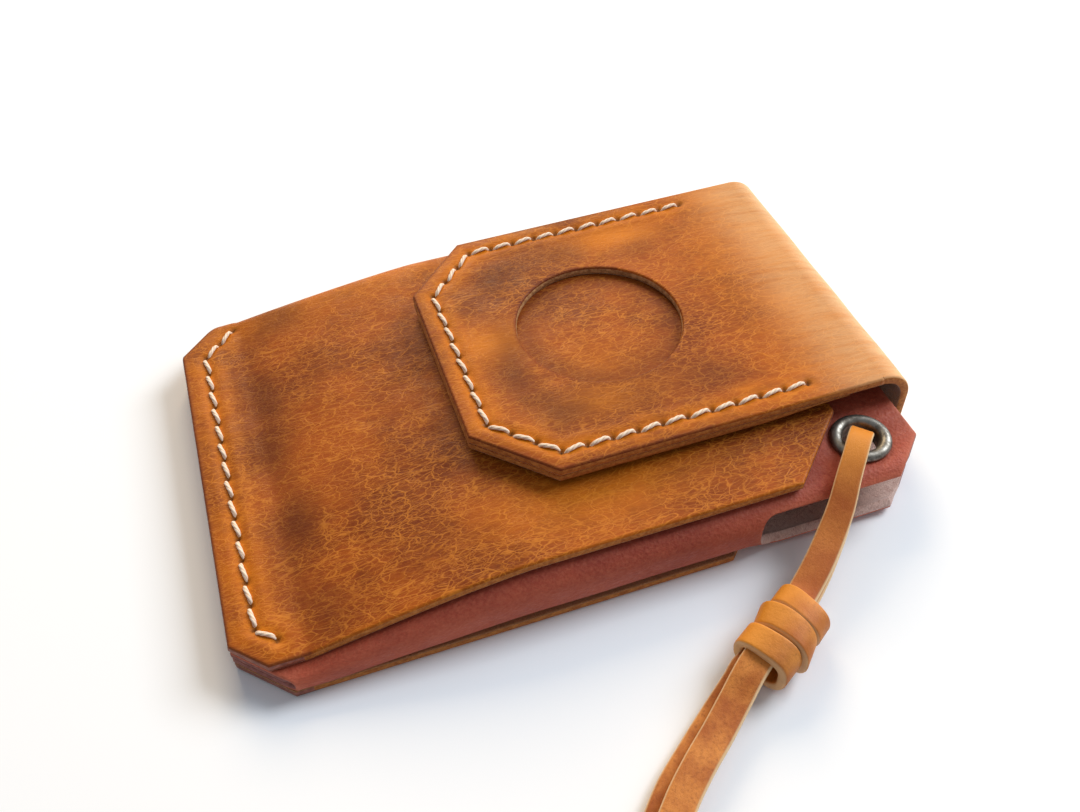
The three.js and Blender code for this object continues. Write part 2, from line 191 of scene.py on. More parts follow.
def distance_to_line(x, y, corners):
    """Distance from every point to the line through the corners."""
    best = np.full(np.shape(x), 1e9)
    for (x0, y0), (x1, y1) in zip(corners[:-1], corners[1:]):
        dx, dy = x1 - x0, y1 - y0
        t = np.clip(((x - x0) * dx + (y - y0) * dy) / (dx * dx + dy * dy), 0, 1)
        best = np.minimum(best, np.hypot(x - x0 - t * dx, y - y0 - t * dy))
    return best


def waves(x, y, size, seed):
    """Soft irregular hills about 1 high and size across: sine waves in seeded directions."""
    draw = np.random.default_rng(seed)
    total = np.zeros(np.shape(x))
    for _ in range(9):
        angle, phase = draw.uniform(0, 2 * np.pi, 2)
        rate = 2 * np.pi / (size * draw.uniform(0.7, 1.6))
        total += np.sin(rate * (x * np.cos(angle) + y * np.sin(angle)) + phase)
    return total / 4


def grid_quads(rows, columns, start=0, close_rows=False, close_columns=False):
    """Quads between the neighbours of a grid, joined round where a direction closes."""
    index = start + np.arange(rows * columns).reshape(rows, columns)
    if close_rows:
        index = np.vstack([index, index[:1]])
    if close_columns:
        index = np.hstack([index, index[:, :1]])
    corners = [index[:-1, :-1], index[:-1, 1:], index[1:, 1:], index[1:, :-1]]
    return np.stack(corners, -1).reshape(-1, 4)


def patch(rows, left, right, shares):
    """Flat places of a patch of leather: each row has points at shares of its way."""
    start, end = (np.broadcast_to(side, rows.shape)[:, None] for side in (left, right))
    x = start + (end - start) * shares[None, :]
    return x, np.broadcast_to(rows[:, None], x.shape)


def join_patches(*patches):
    """Patches as one list of places and quads, with their shared borders joined."""
    places, quads, start = [], [], 0
    for x, q in patches:
        places.append(np.stack([x.ravel(), q.ravel()], 1))
        quads.append(grid_quads(*x.shape, start))
        start += x.size
    places, quads = np.concatenate(places), np.concatenate(quads)
    keys = np.round(places, 3)
    _, first, joined = np.unique(keys, axis=0, return_index=True, return_inverse=True)
    return places[first], joined.ravel()[quads]


def rounded(distance, radius=EDGE_ROUNDING):
    """How far a face drops towards its edge, as a quarter circle of that radius."""
    t = 1 - np.clip(distance / radius, 0, 1)
    return radius * (1 - np.sqrt(np.clip(1 - t * t, 0, 1)))


def closed_sheet(outer, inner, quads):
    """Two faces of a sheet and a rim rounded out along every border, with the part that each
    face is in and the flat place that each point comes from."""
    count = len(outer)
    edges = np.concatenate([quads[:, [i, (i + 1) % 4]] for i in range(4)])
    _, first, uses = np.unique(
        np.sort(edges, axis=1), axis=0, return_index=True, return_counts=True
    )
    rim = edges[first[uses == 1]]
    turn = unit(np.cross(outer[rim[:, 1]] - outer[rim[:, 0]], outer[rim[:, 0]] - inner[rim[:, 0]]))
    out = np.zeros_like(outer)
    np.add.at(out, rim[:, 0], turn)
    np.add.at(out, rim[:, 1], turn)
    border = np.unique(rim)
    out = unit(out[border])
    order = np.zeros(count, int)
    order[border] = np.arange(len(border))
    points, faces, levels = [outer, inner], [quads, quads[:, ::-1] + count], [rim]
    for ring in range(RIM_RINGS):
        t = (ring + 1) / (RIM_RINGS + 1)
        middle = outer[border] * (1 - t) + inner[border] * t
        points.append(middle + out * RIM_BULGE * np.sin(np.pi * t))
        levels.append(order[rim] + 2 * count + ring * len(border))
    levels.append(rim + count)
    for upper, lower in zip(levels[:-1], levels[1:]):
        faces.append(np.stack([upper[:, 1], upper[:, 0], lower[:, 0], lower[:, 1]], 1))
    part = np.concatenate([np.full(len(f), min(i, RIM)) for i, f in enumerate(faces)])
    source = np.concatenate([np.arange(count)] * 2 + [border] * RIM_RINGS)
    return np.concatenate(points), np.concatenate(faces), part, source


def add_to_scene(name, data):
    """An object of that data, in the scene."""
    made = bpy.data.objects.new(name, data)
    bpy.context.scene.collection.objects.link(made)
    return made


def new_piece(name, points, faces, materials, part=None, fields=None):
    """A mesh object; fields are numbers or vectors kept on its points."""
    mesh = bpy.data.meshes.new(name)
    mesh.from_pydata(in_metres(points), [], [list(face) for face in faces])
    for material in materials:
        mesh.materials.append(material)
    if part is not None:
        mesh.polygons.foreach_set("material_index", part.astype(np.int32))
    for field, values in (fields or {}).items():
        values = np.asarray(values, np.float32)
        kind, member = ("FLOAT_VECTOR", "vector") if values.ndim == 2 else ("FLOAT", "value")
        mesh.attributes.new(field, kind, "POINT").data.foreach_set(member, values.ravel())
    mesh.shade_smooth()
    return add_to_scene(name, mesh)


def leather_piece(name, sheet, pattern, materials, **fields):
    """A closed sheet of leather as a piece, with its pattern and other fields on its points."""
    points, faces, part, source = sheet
    lengthwise, across, through = pattern
    through = np.broadcast_to(through, len(points))
    fields = {field: values[source] for field, values in fields.items()}
    places = np.stack([lengthwise[source], across[source], through], 1)
    fields["pattern"] = places * PATTERN_SCALE
    return new_piece(name, points, faces, materials, part, fields)


def stand_for(piece, body, slot, *cad_nodes):
    """The piece rides on a body and stands for those CAD nodes, which it hides; slot is not used.
    """
    if body:
        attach(piece, body)
    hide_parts(*cad_nodes)


def face_along(thing, place, right, up):
    """Puts an object at a place in metres, with its own X and Y along right and up."""
    axes = Matrix(np.column_stack([right, up, np.cross(right, up)]).tolist())
    thing.matrix_world = Matrix.Translation(place) @ axes.to_4x4()


# ---- camera


def set_camera():
    """A camera that looks down on the wallet's front from its left, with a little roll."""
    data = bpy.data.cameras.new("camera")
    data.lens = 35.2
    data.sensor_width = 36
    data.clip_start = 0.005
    right = unit(np.array([0.9461, -0.3228, -0.0264]))
    up = np.array([0.2535, 0.6872, 0.6809])
    camera = add_to_scene("camera", data)
    face_along(camera, (-0.03264, -0.10704, 0.12344), right, unit(up - right * (up @ right)))
    bpy.context.scene.camera = camera


set_camera()

# ---- materials


def colour(red, green, blue):
    """A colour given as on a screen, from 0 to 255, as the linear one that shaders use."""
    values = np.array([red, green, blue]) / 255
    linear = np.where(values <= 0.04045, values / 12.92, ((values + 0.055) / 1.055) ** 2.4)
    return (*[float(value) for value in linear], 1.0)


class Look:
    """A material while it is made. Every method but finish adds a node and gives its output."""

    def __init__(self, name, **sockets):
        self.material = bpy.data.materials.new(name)
        self.material.use_nodes = True
        self.tree = self.material.node_tree
        self.shader = self.tree.nodes["Principled BSDF"]
        for socket, value in sockets.items():
            self.put(self.shader.inputs[socket.replace("_", " ")], value)

    def put(self, socket, value):
        """Gives a socket a value, or another node's output."""
        if isinstance(value, bpy.types.NodeSocket):
            self.tree.links.new(value, socket)
        else:
            socket.default_value = value

    def node(self, kind, inputs, output=0, **settings):
        """A shader node; inputs maps a socket's name or number to what it is given."""
        made = self.tree.nodes.new("ShaderNode" + kind)
        for name, value in settings.items():
            setattr(made, name, value)
        for key, value in inputs.items():
            self.put(made.inputs[key], value)
        return made.outputs[output]

    def maths(self, operation, first, second, third=0.0):
        """One sum on numbers."""
        return self.node("Math", {0: first, 1: second, 2: third}, operation=operation)

    def blend(self, share, *tones):
        """Two tones mixed by share; each is a node's output or a colour from 0 to 255."""
        first, second = (colour(*tone) if isinstance(tone, tuple) else tone for tone in tones)
        return self.node("Mix", {0: share, 6: first, 7: second}, 2, data_type="RGBA")

    def tint(self, tone, share, strength, second):
        """A tone with a second one over it, by share times strength."""
        return self.blend(self.maths("MULTIPLY", share, strength), tone, second)

    def field(self, name, output="Fac"):
        """A number or vector kept on the piece's points, 0 on a piece that hasn't got it."""
        return self.node("Attribute", {}, output, attribute_name=name)

    def stretch(self, value, low, high, out_low=0.0, out_high=1.0):
        """The value's stretch from low to high, made out_low to out_high, with level ends."""
        inputs = {"Value": value, "From Min": low, "From Max": high}
        inputs |= {"To Min": out_low, "To Max": out_high}
        return self.node("MapRange", inputs, interpolation_type="SMOOTHSTEP")

    def noise(self, place, scale, detail=3.0, rough=0.5, output=0):
        """Cloudy noise, as a number or, from output 1, as a vector."""
        inputs = {"Vector": place, "Scale": scale, "Detail": detail, "Roughness": rough}
        return self.node("TexNoise", inputs, output)

    def cloudy(self, place, scale, detail, rough, low, high, *out):
        """A stretch of cloudy noise."""
        return self.stretch(self.noise(place, scale, detail, rough), low, high, *out)

    def mapped(self, place, **changes):
        """The place moved, turned or scaled."""
        return self.node("Mapping", {"Vector": place, **changes})

    def shifted(self, place, scale, amount):
        """The place moved about by noise, so that a pattern on it is irregular."""
        cloud = self.noise(place, scale, 2.0, 0.5, 1)
        centred = self.node("VectorMath", {0: cloud, 1: (0.5, 0.5, 0.5)}, operation="SUBTRACT")
        moved = self.node("VectorMath", {0: centred, "Scale": amount}, operation="SCALE")
        return self.node("VectorMath", {0: place, 1: moved}, operation="ADD")

    def lines(self, place, scale, width):
        """A net of thin lines: the borders between irregular cells."""
        inputs = {"Vector": place, "Scale": scale}
        away = self.node("TexVoronoi", inputs, "Distance", feature="DISTANCE_TO_EDGE")
        return self.stretch(away, 0.0, width, 1.0, 0.0)

    def cells(self, place, scale):
        """Small rounded cells: how far each place is from the middle of its own."""
        return self.node("TexVoronoi", {"Vector": place, "Scale": scale}, "Distance")

    def finish(self, tone, heights, roughness=None):
        """The material, with its colour, and bumps from pairs of a height and its size in
        metres, one on top of another."""
        self.put(self.shader.inputs["Base Color"], tone)
        if roughness is not None:
            self.put(self.shader.inputs["Roughness"], roughness)
        below = {}
        for height, size in heights:
            inputs = {"Height": height, "Distance": size, "Strength": 1.0, **below}
            below = {"Normal": self.node("Bump", inputs)}
        self.put(self.shader.inputs["Normal"], below["Normal"])
        return self.material


def crease_net(look, place, drawn):
    """Creases of three sizes; each size shows in its own clouds."""
    net = 0.0
    sizes = ((4.2, 0.04, 0.95, 1.0), (7.6, 0.055, 0.85, 2.3), (14.0, 0.085, 0.6, 3.7))
    for scale, width, strength, step in sizes:
        crease = look.lines(look.shifted(drawn, scale * 1.1, 0.8 / scale), scale, width)
        moved = look.mapped(place, Location=(step * 5, step * 3, 0))
        where = look.cloudy(moved, 1.6, 5.0, 0.7, 0.34, 0.54, 0.08, strength)
        net = look.maths("MAXIMUM", net, look.maths("MULTIPLY", crease, where))
    return net


def pull_up_leather():
    """Waxed cognac leather: cloudy browns, light crease lines, amber glow by seams and folds."""
    look = Look("waxed_cognac", Specular_IOR_Level=0.14)
    place = look.field("pattern", "Vector")
    cloud = look.noise(place, 0.5, 4.0, 0.55)
    tone = look.blend(look.stretch(cloud, 0.36, 0.62), (114, 45, 12), (160, 74, 18))
    patches = look.cloudy(place, 0.9, 4.0, 0.65, 0.5, 0.72)
    tone = look.tint(tone, patches, 0.48, (88, 32, 8))
    mottle = look.cloudy(place, 11.0, 6.0, 0.75, 0.35, 0.75)
    tone = look.tint(tone, mottle, 0.3, (188, 102, 20))
    drawn = look.mapped(place, Rotation=(0, 0, -0.22), Scale=(0.5, 1.25, 1.0))
    drawn = look.shifted(drawn, 1.6, 0.22)
    streaks = look.mapped(drawn, Scale=(0.7, 2.2, 1.0))
    pulled = look.cloudy(streaks, 4.0, 6.0, 0.75, 0.5, 0.68)
    tone = look.tint(tone, pulled, 0.28, (190, 104, 20))
    net = crease_net(look, place, drawn)
    tone = look.tint(tone, net, 0.68, (214, 132, 46))
    glow = look.maths("MULTIPLY", look.field("glow"), look.stretch(cloud, 0.25, 0.6, 0.7, 1.0))
    glow_streaks = look.cloudy(streaks, 5.0, 6.0, 0.75, 0.3, 0.54, 0.6, 1.0)
    tone = look.tint(tone, glow, glow_streaks, (208, 117, 10))
    # shade: dark brown patches on the shell and flap; on the lining, painted shade in a ring just
    # inside the window's wall.
    tone = look.tint(tone, look.field("shade"), 0.75, (84, 34, 12))
    tone = look.blend(look.field("burn"), tone, (98, 40, 24))
    # Painted highlight: the field pale lightens the bend's curve and the flap beside it towards
    # cream, broken up by streaky noise.
    painted_highlight_breakup = look.cloudy(streaks, 3.0, 6.0, 0.7, 0.3, 0.6, 0.6, 1.0)
    tone = look.tint(tone, look.field("pale"), painted_highlight_breakup, (232, 192, 142))
    # Painted shade: the field hole makes the leather near black in and around each stitch hole.
    tone = look.blend(look.field("hole"), tone, (26, 10, 5))
    pebble = look.cells(look.shifted(drawn, 8.0, 0.1), 17.0)
    hills, pores = look.noise(place, 1.1, 2.0), look.noise(place, 40.0, 3.0, 0.6)
    heights = [(hills, 0.0002), (net, 0.000015), (pebble, 0.000025), (pores, 0.00002)]
    return look.finish(tone, heights, look.cloudy(place, 2.4, 4.0, 0.5, 0.3, 0.7, 0.42, 0.55))


def chestnut_leather():
    """Smooth fine-grained leather with a faint cloud of two tones and fine pores."""
    light = (206, 116, 84)
    sheen = colour(250, 205, 190)
    look = Look("chestnut", Specular_IOR_Level=0.3, Sheen_Weight=0.08, Sheen_Tint=sheen)
    place = look.field("pattern", "Vector")
    cloud = look.cloudy(place, 0.7, 4.0, 0.6, 0.3, 0.7)
    tone = look.blend(cloud, (142, 50, 34), (172, 74, 49))
    tone = look.tint(tone, look.cloudy(place, 16.0, 5.0, 0.75, 0.35, 0.7), 0.3, light)
    tone = look.blend(look.field("glow"), tone, light)
    pores = look.cells(look.shifted(place, 9.0, 0.08), 20.0)
    heights = [(pores, 0.00006), (look.noise(place, 45.0, 3.0, 0.6), 0.00004)]
    return look.finish(tone, heights, look.cloudy(place, 3.0, 3.0, 0.5, 0.3, 0.7, 0.5, 0.66))


def flesh_side(name, dark, light):
    """The rough inner side of leather: short fuzzy fibres."""
    look = Look(name, Roughness=0.92, Specular_IOR_Level=0.2, Sheen_Weight=0.35)
    place = look.field("pattern", "Vector")
    fibres = look.noise(look.shifted(place, 12.0, 0.25), 26.0, 6.0, 0.8)
    return look.finish(look.blend(look.stretch(fibres, 0.3, 0.7), dark, light), [(fibres, 0.00018)])


def cut_edge(name, dark, light, rough, fuzz, layering=2600.0):
    """A cut edge: layered fibres, darker where they are pressed together."""
    look = Look(name, Roughness=rough, Specular_IOR_Level=0.35)
    place = look.node("TexCoord", {}, "Object")
    layers = look.noise(look.mapped(place, Scale=(1200.0, 1200.0, layering)), 1.0, 4.0, 0.7)
    return look.finish(look.blend(look.stretch(layers, 0.32, 0.68), dark, light), [(layers, fuzz)])


def waxed_thread():
    """Cream waxed thread, with painted shade: greyer in the lay between its plies."""
    look = Look("cream_thread", Roughness=0.62, Sheen_Weight=0.25)
    fibres = look.noise(look.node("TexCoord", {}, "Object"), 9000.0, 3.0, 0.6)
    tone = look.blend(look.field("lay"), (204, 160, 124), (250, 230, 206))
    tone = look.tint(tone, fibres, 0.25, (224, 190, 156))
    return look.finish(tone, [(fibres, 0.00004)])


def old_nickel():
    """Worn dark nickel: grey-brown, duller and darker in its blotches."""
    look = Look("worn_nickel", Metallic=1.0)
    place = look.node("TexCoord", {}, "Object")
    blotch = look.cloudy(place, 900.0, 4.0, 0.6, 0.35, 0.7)
    tone = look.blend(blotch, (146, 141, 132), (102, 95, 86))
    scratches = [(look.noise(place, 2600.0, 4.0, 0.6), 0.000012)]
    return look.finish(tone, scratches, look.maths("MULTIPLY_ADD", blotch, 0.16, 0.42))


def ochre_lace():
    """Vegetable-tanned lace: ochre with deeper flecks, and a pale raw colour on its cut edges."""
    look = Look("ochre_lace_leather", Roughness=0.55, Specular_IOR_Level=0.3)
    place = look.field("pattern", "Vector")
    cloud = look.cloudy(place, 1.4, 4.0, 0.6, 0.32, 0.68)
    tone = look.blend(cloud, (164, 84, 28), (216, 138, 62))
    flecks = look.cloudy(place, 22.0, 5.0, 0.75, 0.45, 0.75)
    tone = look.tint(tone, flecks, 0.6, (128, 58, 18))
    tone = look.blend(look.field("deep"), tone, (170, 82, 24))
    tone = look.blend(look.field("glow"), tone, (214, 134, 30))
    tone = look.blend(look.field("raw"), tone, (230, 196, 148))
    return look.finish(tone, [(look.noise(place, 26.0, 5.0, 0.7), 0.00007)])


COGNAC = pull_up_leather()
COGNAC_FLESH = flesh_side("cognac_flesh", (136, 84, 46), (184, 126, 78))
COGNAC_EDGE = cut_edge("burnished_cognac_edge", (112, 56, 42), (158, 94, 74), 0.42, 0.00003)
RAW_EDGE = cut_edge("raw_tan_edge", (150, 82, 28), (190, 120, 54), 0.75, 0.00008, 1700.0)
CHESTNUT = chestnut_leather()
CHESTNUT_FLESH = flesh_side("chestnut_suede", (176, 130, 116), (232, 200, 186))
WINDOW_WALL = cut_edge("raw_cream_wall", (142, 92, 50), (204, 154, 102), 0.85, 0.00012, 1500.0)
CHESTNUT_EDGE = cut_edge("chestnut_edge", (110, 52, 44), (146, 84, 72), 0.5, 0.00003)
THREAD = waxed_thread()
NICKEL = old_nickel()
LACE = ochre_lace()

# ---- lanyard

BIGHT = [
    [73.0, -9.6, 4.5], [76.0, -7.3, 5.3], [79.3, -4.4, 6.4], [82.4, -1.4, 8.1],
    [85.0, 1.7, 9.8], [87.2, 4.2, 10.8], [89.2, 6.5, 11.0], [90.6, 8.0, 9.9],
    [91.0, 8.5, 8.0], [90.6, 8.0, 6.1], [89.2, 6.5, 5.0], [87.2, 4.2, 4.9],
    [84.8, 1.4, 4.8], [82.0, -1.8, 4.4], [79.0, -4.7, 3.7], [76.0, -7.4, 3.0],
    [73.1, -9.7, 2.6],
]
WRIST_LOOP = [
    [61.2, -16.5, 2.3], [60.0, -17.4, 1.9], [55.6, -20.4, 1.1], [51.0, -23.8, 0.95],
    [46.2, -27.6, 0.95], [41.8, -32.6, 0.95], [38.4, -38.6, 0.95], [36.2, -45.2, 1.1],
    [33.6, -52.0, 1.6], [30.2, -59.4, 2.2], [27.8, -67.6, 2.3], [28.0, -76.0, 2.3],
    [31.6, -83.0, 2.3], [38.4, -86.4, 2.3], [45.6, -84.2, 2.3], [50.2, -77.6, 2.3],
    [50.8, -69.4, 2.3], [48.4, -61.6, 2.4], [44.8, -54.4, 2.6], [41.6, -47.4, 2.8],
    [40.6, -40.6, 2.9], [42.4, -34.6, 2.9], [46.2, -30.0, 2.8], [50.2, -26.4, 2.8],
    [54.3, -23.2, 2.8], [58.0, -20.2, 3.2], [61.6, -17.4, 4.3],
]
START_IN_KNOT = [71.0, -11.1, 4.45]
IN_KNOT_BOTTOM = [67.2, -13.7, 2.55]
IN_KNOT_TOP = [67.0, -13.8, 4.35]
LACE_ROUTE = [START_IN_KNOT, *BIGHT, IN_KNOT_BOTTOM, *WRIST_LOOP, IN_KNOT_TOP]
BIGHT_SIDE = unit(np.array([0.69, -0.72, 0.0]))  # the lace lies flat on its way to the eyelet
OVER_EYELET = np.array([88.0, 5.0, 9.0])
ON_RIM = np.array([88.6, 5.8, 10.9])
KNOT_MIDDLE = np.array([67.2, -13.6, 3.5])
KNOT_HEADING = unit(np.array([-0.815, -0.58, 0.0]))
KNOT_SIDE = np.array([-KNOT_HEADING[1], KNOT_HEADING[0], 0.0])
UP = np.array([0.0, 0.0, 1.0])
# Each wrap's place along the knot, half width, half height, shift aside and phase.
WRAPS = ((-3.75, 3.95, 3.0, 1.1, 0.0), (0.0, 4.25, 3.25, 0.9, 1.9), (3.75, 4.0, 3.1, 0.35, 3.9))


def route(points, spacing):
    """A smooth line through the points, which never overshoots, evenly spaced; and its length."""
    points = np.array(points)
    p = np.vstack([2 * points[0] - points[1], points, 2 * points[-1] - points[-2]])
    knots = np.append(0, np.cumsum(np.sqrt(np.linalg.norm(np.diff(p, axis=0), axis=1))))
    line = []
    for i in range(1, len(p) - 2):
        t = np.linspace(knots[i], knots[i + 1], 24, endpoint=False)[:, None]
        level = p[i - 1 : i + 3]
        for first, reach in ((i - 1, 1), (i - 1, 2), (i, 1)):
            starts = knots[first : first + len(level) - 1]
            ends = knots[first + reach : first + reach + len(level) - 1]
            shares = [(t - start) / (end - start) for start, end in zip(starts, ends)]
            pairs = zip(level[:-1], level[1:], shares)
            level = [(1 - share) * here + share * there for here, there, share in pairs]
        line += level
    line = np.concatenate([*line, points[-1:]])
    length = np.append(0, np.cumsum(np.linalg.norm(np.diff(line, axis=0), axis=1)))
    even = np.linspace(0, length[-1], int(length[-1] / spacing) + 1)
    return np.stack([np.interp(even, length, line[:, k]) for k in range(3)], 1), length[-1]


def lace_section(width, thickness, corner):
    """Outline of a flat lace: a quarter circle at each corner and points on each side."""
    arcs, outline = [], []
    for x, y, turn in ((1, 1, 0), (-1, 1, 1), (-1, -1, 2), (1, -1, 3)):
        angle = (turn + np.linspace(0, 1, 5)) * np.pi / 2
        middle = np.array([x * (width / 2 - corner), y * (thickness / 2 - corner)])
        arcs.append(middle + corner * np.stack([np.cos(angle), np.sin(angle)], 1))
    for arc, following, count in zip(arcs, arcs[1:] + arcs[:1], (7, 2, 7, 2)):
        shares = np.linspace(0, 1, count + 2)[1:-1, None]
        outline += [arc, arc[-1] + (following[0] - arc[-1]) * shares]
    return np.concatenate(outline)


def sweep(line, across, section):
    """A section carried along a line, its width along across, and closed by a fan at its ends."""
    heading = unit(np.gradient(line, axis=0))
    side = unit(across - heading * np.sum(across * heading, axis=1)[:, None])
    up = np.cross(heading, side)
    points = line[:, None] + side[:, None] * section[:, :1] + up[:, None] * section[:, 1:]
    rows, columns = points.shape[:2]
    faces = [*grid_quads(rows, columns, close_columns=True)[:, ::-1]]
    ring = np.arange(columns)
    next_on_ring = np.roll(ring, -1)
    last, tip = (rows - 1) * columns, rows * columns
    faces += [*np.stack([np.full(columns, tip), next_on_ring, ring], 1)]
    faces += [*np.stack([np.full(columns, tip + 1), ring + last, next_on_ring + last], 1)]
    return np.concatenate([points.reshape(-1, 3), line[:1], line[-1:]]), faces


def make_lace():
    """One lace: over the eyelet's rim, down through it, back to the knot and round the wrist
    loop; with its line and its length."""
    line, length = route(LACE_ROUTE, LACE_SPACING)
    count = np.arange(len(line))
    heading = np.gradient(line, axis=0)
    flat = unit(np.stack([heading[:, 1], -heading[:, 0], 0 * count], 1))
    bight_end = np.argmin(np.linalg.norm(line - IN_KNOT_BOTTOM, axis=1))
    in_bight = count < bight_end
    flat[in_bight] = BIGHT_SIDE
    around = np.clip((count - bight_end) / (count[-1] - bight_end), 0, 1)
    roll = smooth(around, 0.2, 0.36) * (1 - smooth(around, 0.64, 0.8)) * np.pi / 2
    across = flat * np.cos(roll)[:, None] + UP * np.sin(roll)[:, None]
    section = lace_section(LACE_WIDTH, LACE_THICKNESS, 0.42)
    tube, faces = sweep(line, across, section)
    drawn_in = LACE_NARROWING * bell(np.linalg.norm(line - OVER_EYELET, axis=1), 10.0)
    narrowing = drawn_in[:, None, None] * across[:, None] * section[:, :1]
    tube[:-2] -= narrowing.reshape(-1, 3)
    tube[:, 2] = np.maximum(tube[:, 2], FLOOR_GAP)
    lengthwise = np.repeat(count / count[-1] * length, len(section))
    width, height = np.tile(section.T, len(line))
    pattern = np.stack([lengthwise, width, height], 1) * PATTERN_SCALE
    glow = 0.85 * bell(np.linalg.norm(tube[:-2] - ON_RIM, axis=1), 5.5)
    fields = {
        "pattern": np.vstack([pattern, pattern[:1], pattern[-1:]]),
        "raw": np.append(0.9 * smooth(np.abs(width), 1.72, 1.95), [0.6, 0.6]),
        "glow": np.append(glow, [0, 0]),
        "deep": np.append(np.repeat(0.45 * in_bight, len(section)), [0, 0]),
    }
    return new_piece("lanyard_lace", tube, faces, [LACE], fields=fields), line, length


def make_knot():
    """The coil knot: three flat wraps round both strands, tilted and a little apart."""
    band = lace_section(WRAP_WIDTH, WRAP_THICKNESS, 0.36)
    points, patterns = [], []
    turn = np.linspace(0, 2 * np.pi, 97)[:-1]
    cos, sin = np.cos(turn), np.sin(turn)
    roundness = 2.6  # 2 is an ellipse, and more is squarer
    size = (np.abs(cos) ** roundness + np.abs(sin) ** roundness) ** (-1 / roundness)
    for place, wide, high, shift, phase in WRAPS:
        tilt = 1.6 * (0.34 * cos - 0.1 * sin + 0.12 * np.sin(2 * turn + phase))
        ring = np.stack([(wide - 0.67) * cos, (high - 0.67) * sin], 1) * size[:, None]
        normal = unit(np.stack([cos / wide, sin / high], 1))
        lean = 0.17 * np.sin(turn + phase)[:, None]
        out = band[:, 1] + band[:, 0] * lean
        radial = ring[:, None] + normal[:, None] * out[..., None]
        depth = place + tilt[:, None] + band[:, 0]
        wrap = KNOT_MIDDLE + KNOT_HEADING * depth[..., None]
        points.append(wrap + KNOT_SIDE * (radial[..., :1] + shift) + UP * radial[..., 1:])
        lengthwise = np.repeat(turn * 3.2 + place, len(band))
        patterns.append(np.stack([lengthwise, *np.tile(band.T, len(turn))], 1))
    shape = (len(turn), len(band))
    starts = np.arange(len(WRAPS)) * len(turn) * len(band)
    faces = [grid_quads(*shape, start, close_rows=True, close_columns=True) for start in starts]
    points, patterns = np.reshape(points, (-1, 3)), np.concatenate(patterns)
    fields = {
        "pattern": patterns * PATTERN_SCALE,
        "raw": 0.6 * smooth(np.abs(patterns[:, 1]), 1.6, 1.78),
        "glow": np.clip(0.55 - 0.16 * ((points - KNOT_MIDDLE) @ KNOT_SIDE), 0.15, 0.9),
    }
    return new_piece("coil_knot", points, np.concatenate(faces), [LACE], fields=fields)


lace, lace_line, lace_length = make_lace()
knot = make_knot()
stand_for(lace, "case", "ochre_lace", "lanyard_bight", "wrist_loop")
stand_for(knot, "case", "ochre_lace", "lanyard_knot")

# ---- seams

STITCH_STEPS = 33
THREAD_SIDES = 18
CORE_RADIUS = 0.24  # of the thread, between its plies
PLY_HEIGHT = 0.08
PLIES = 3
TWIST = 7.0  # radians that the plies turn in a stitch
SLANT = 0.24
GROOVE = 0.12
HOLE_DEPTH = 0.5


def corner_shift(inset):
    """How far a corner of 45 degrees moves along its side when an outline is drawn further in."""
    return inset * np.tan(np.pi / 8)


def body_seam_corners():
    """Corners of the seam that holds the sewn end, from the spine to the front."""
    x = BODY_SEAM_INSET
    front = END_CHAMFER + corner_shift(x)
    back = BODY_WIDTH - front
    back_run, front_run = BODY_STITCHES[0] * CORNER_RUN, BODY_STITCHES[2] * CORNER_RUN
    back_end, front_end = (x + back_run, back + back_run), (x + front_run, front - front_run)
    return [back_end, (x, back), (x, front), front_end]


def flap_outline(inset, end):
    """Corners of the flap's outline drawn in by inset, from its tip's front round to its back."""
    left, front, back = FLAP_TIP + inset, STRAP_FRONT + inset, SPINE_LINE - inset
    cut = FLAP_CHAMFER - inset + corner_shift(inset)
    chamfers = [(left, front + cut), (left + cut, front), (left + cut, back), (left, back - cut)]
    return np.array([*chamfers[:2], (end - inset, front), (end - inset, back), *chamfers[2:]])


def flap_seam_corners():
    """Corners of the flap's seam, from the bend along the back, round the tip to the bend."""
    end = flap_outline(FLAP_SEAM_INSET, 0)[1, 0] + FLAP_STITCHES[0] * ROW_PITCH
    return np.roll(flap_outline(FLAP_SEAM_INSET, end + FLAP_SEAM_INSET), 3, axis=0)


def holes_along(corners, counts):
    """Places of the holes, spaced evenly along each side."""
    corners = np.array(corners)
    holes = [corners[:1]]
    for start, end, count in zip(corners[:-1], corners[1:], counts):
        holes.append(start + (end - start) * np.arange(1, count + 1)[:, None] / count)
    return np.concatenate(holes)


BODY_SEAM = body_seam_corners()
FLAP_SEAM = flap_seam_corners()
BODY_HOLES = holes_along(BODY_SEAM, BODY_STITCHES)
FLAP_HOLES = holes_along(FLAP_SEAM, FLAP_STITCHES)


def near_holes(x, y, holes, size):
    """1 at each hole, falling off over size."""
    near = np.zeros(np.shape(x))
    for hole_x, hole_y in holes:
        near = np.maximum(near, bell(np.hypot(x - hole_x, y - hole_y), size))
    return near


def seam_dent(x, y, corners, holes):
    """How deep a seam pulls the leather in: a shallow groove, deeper at every hole."""
    away = distance_to_line(x, y, corners)
    return GROOVE * bell(away, 0.9) + HOLE_DEPTH * near_holes(x, y, holes, 0.42)


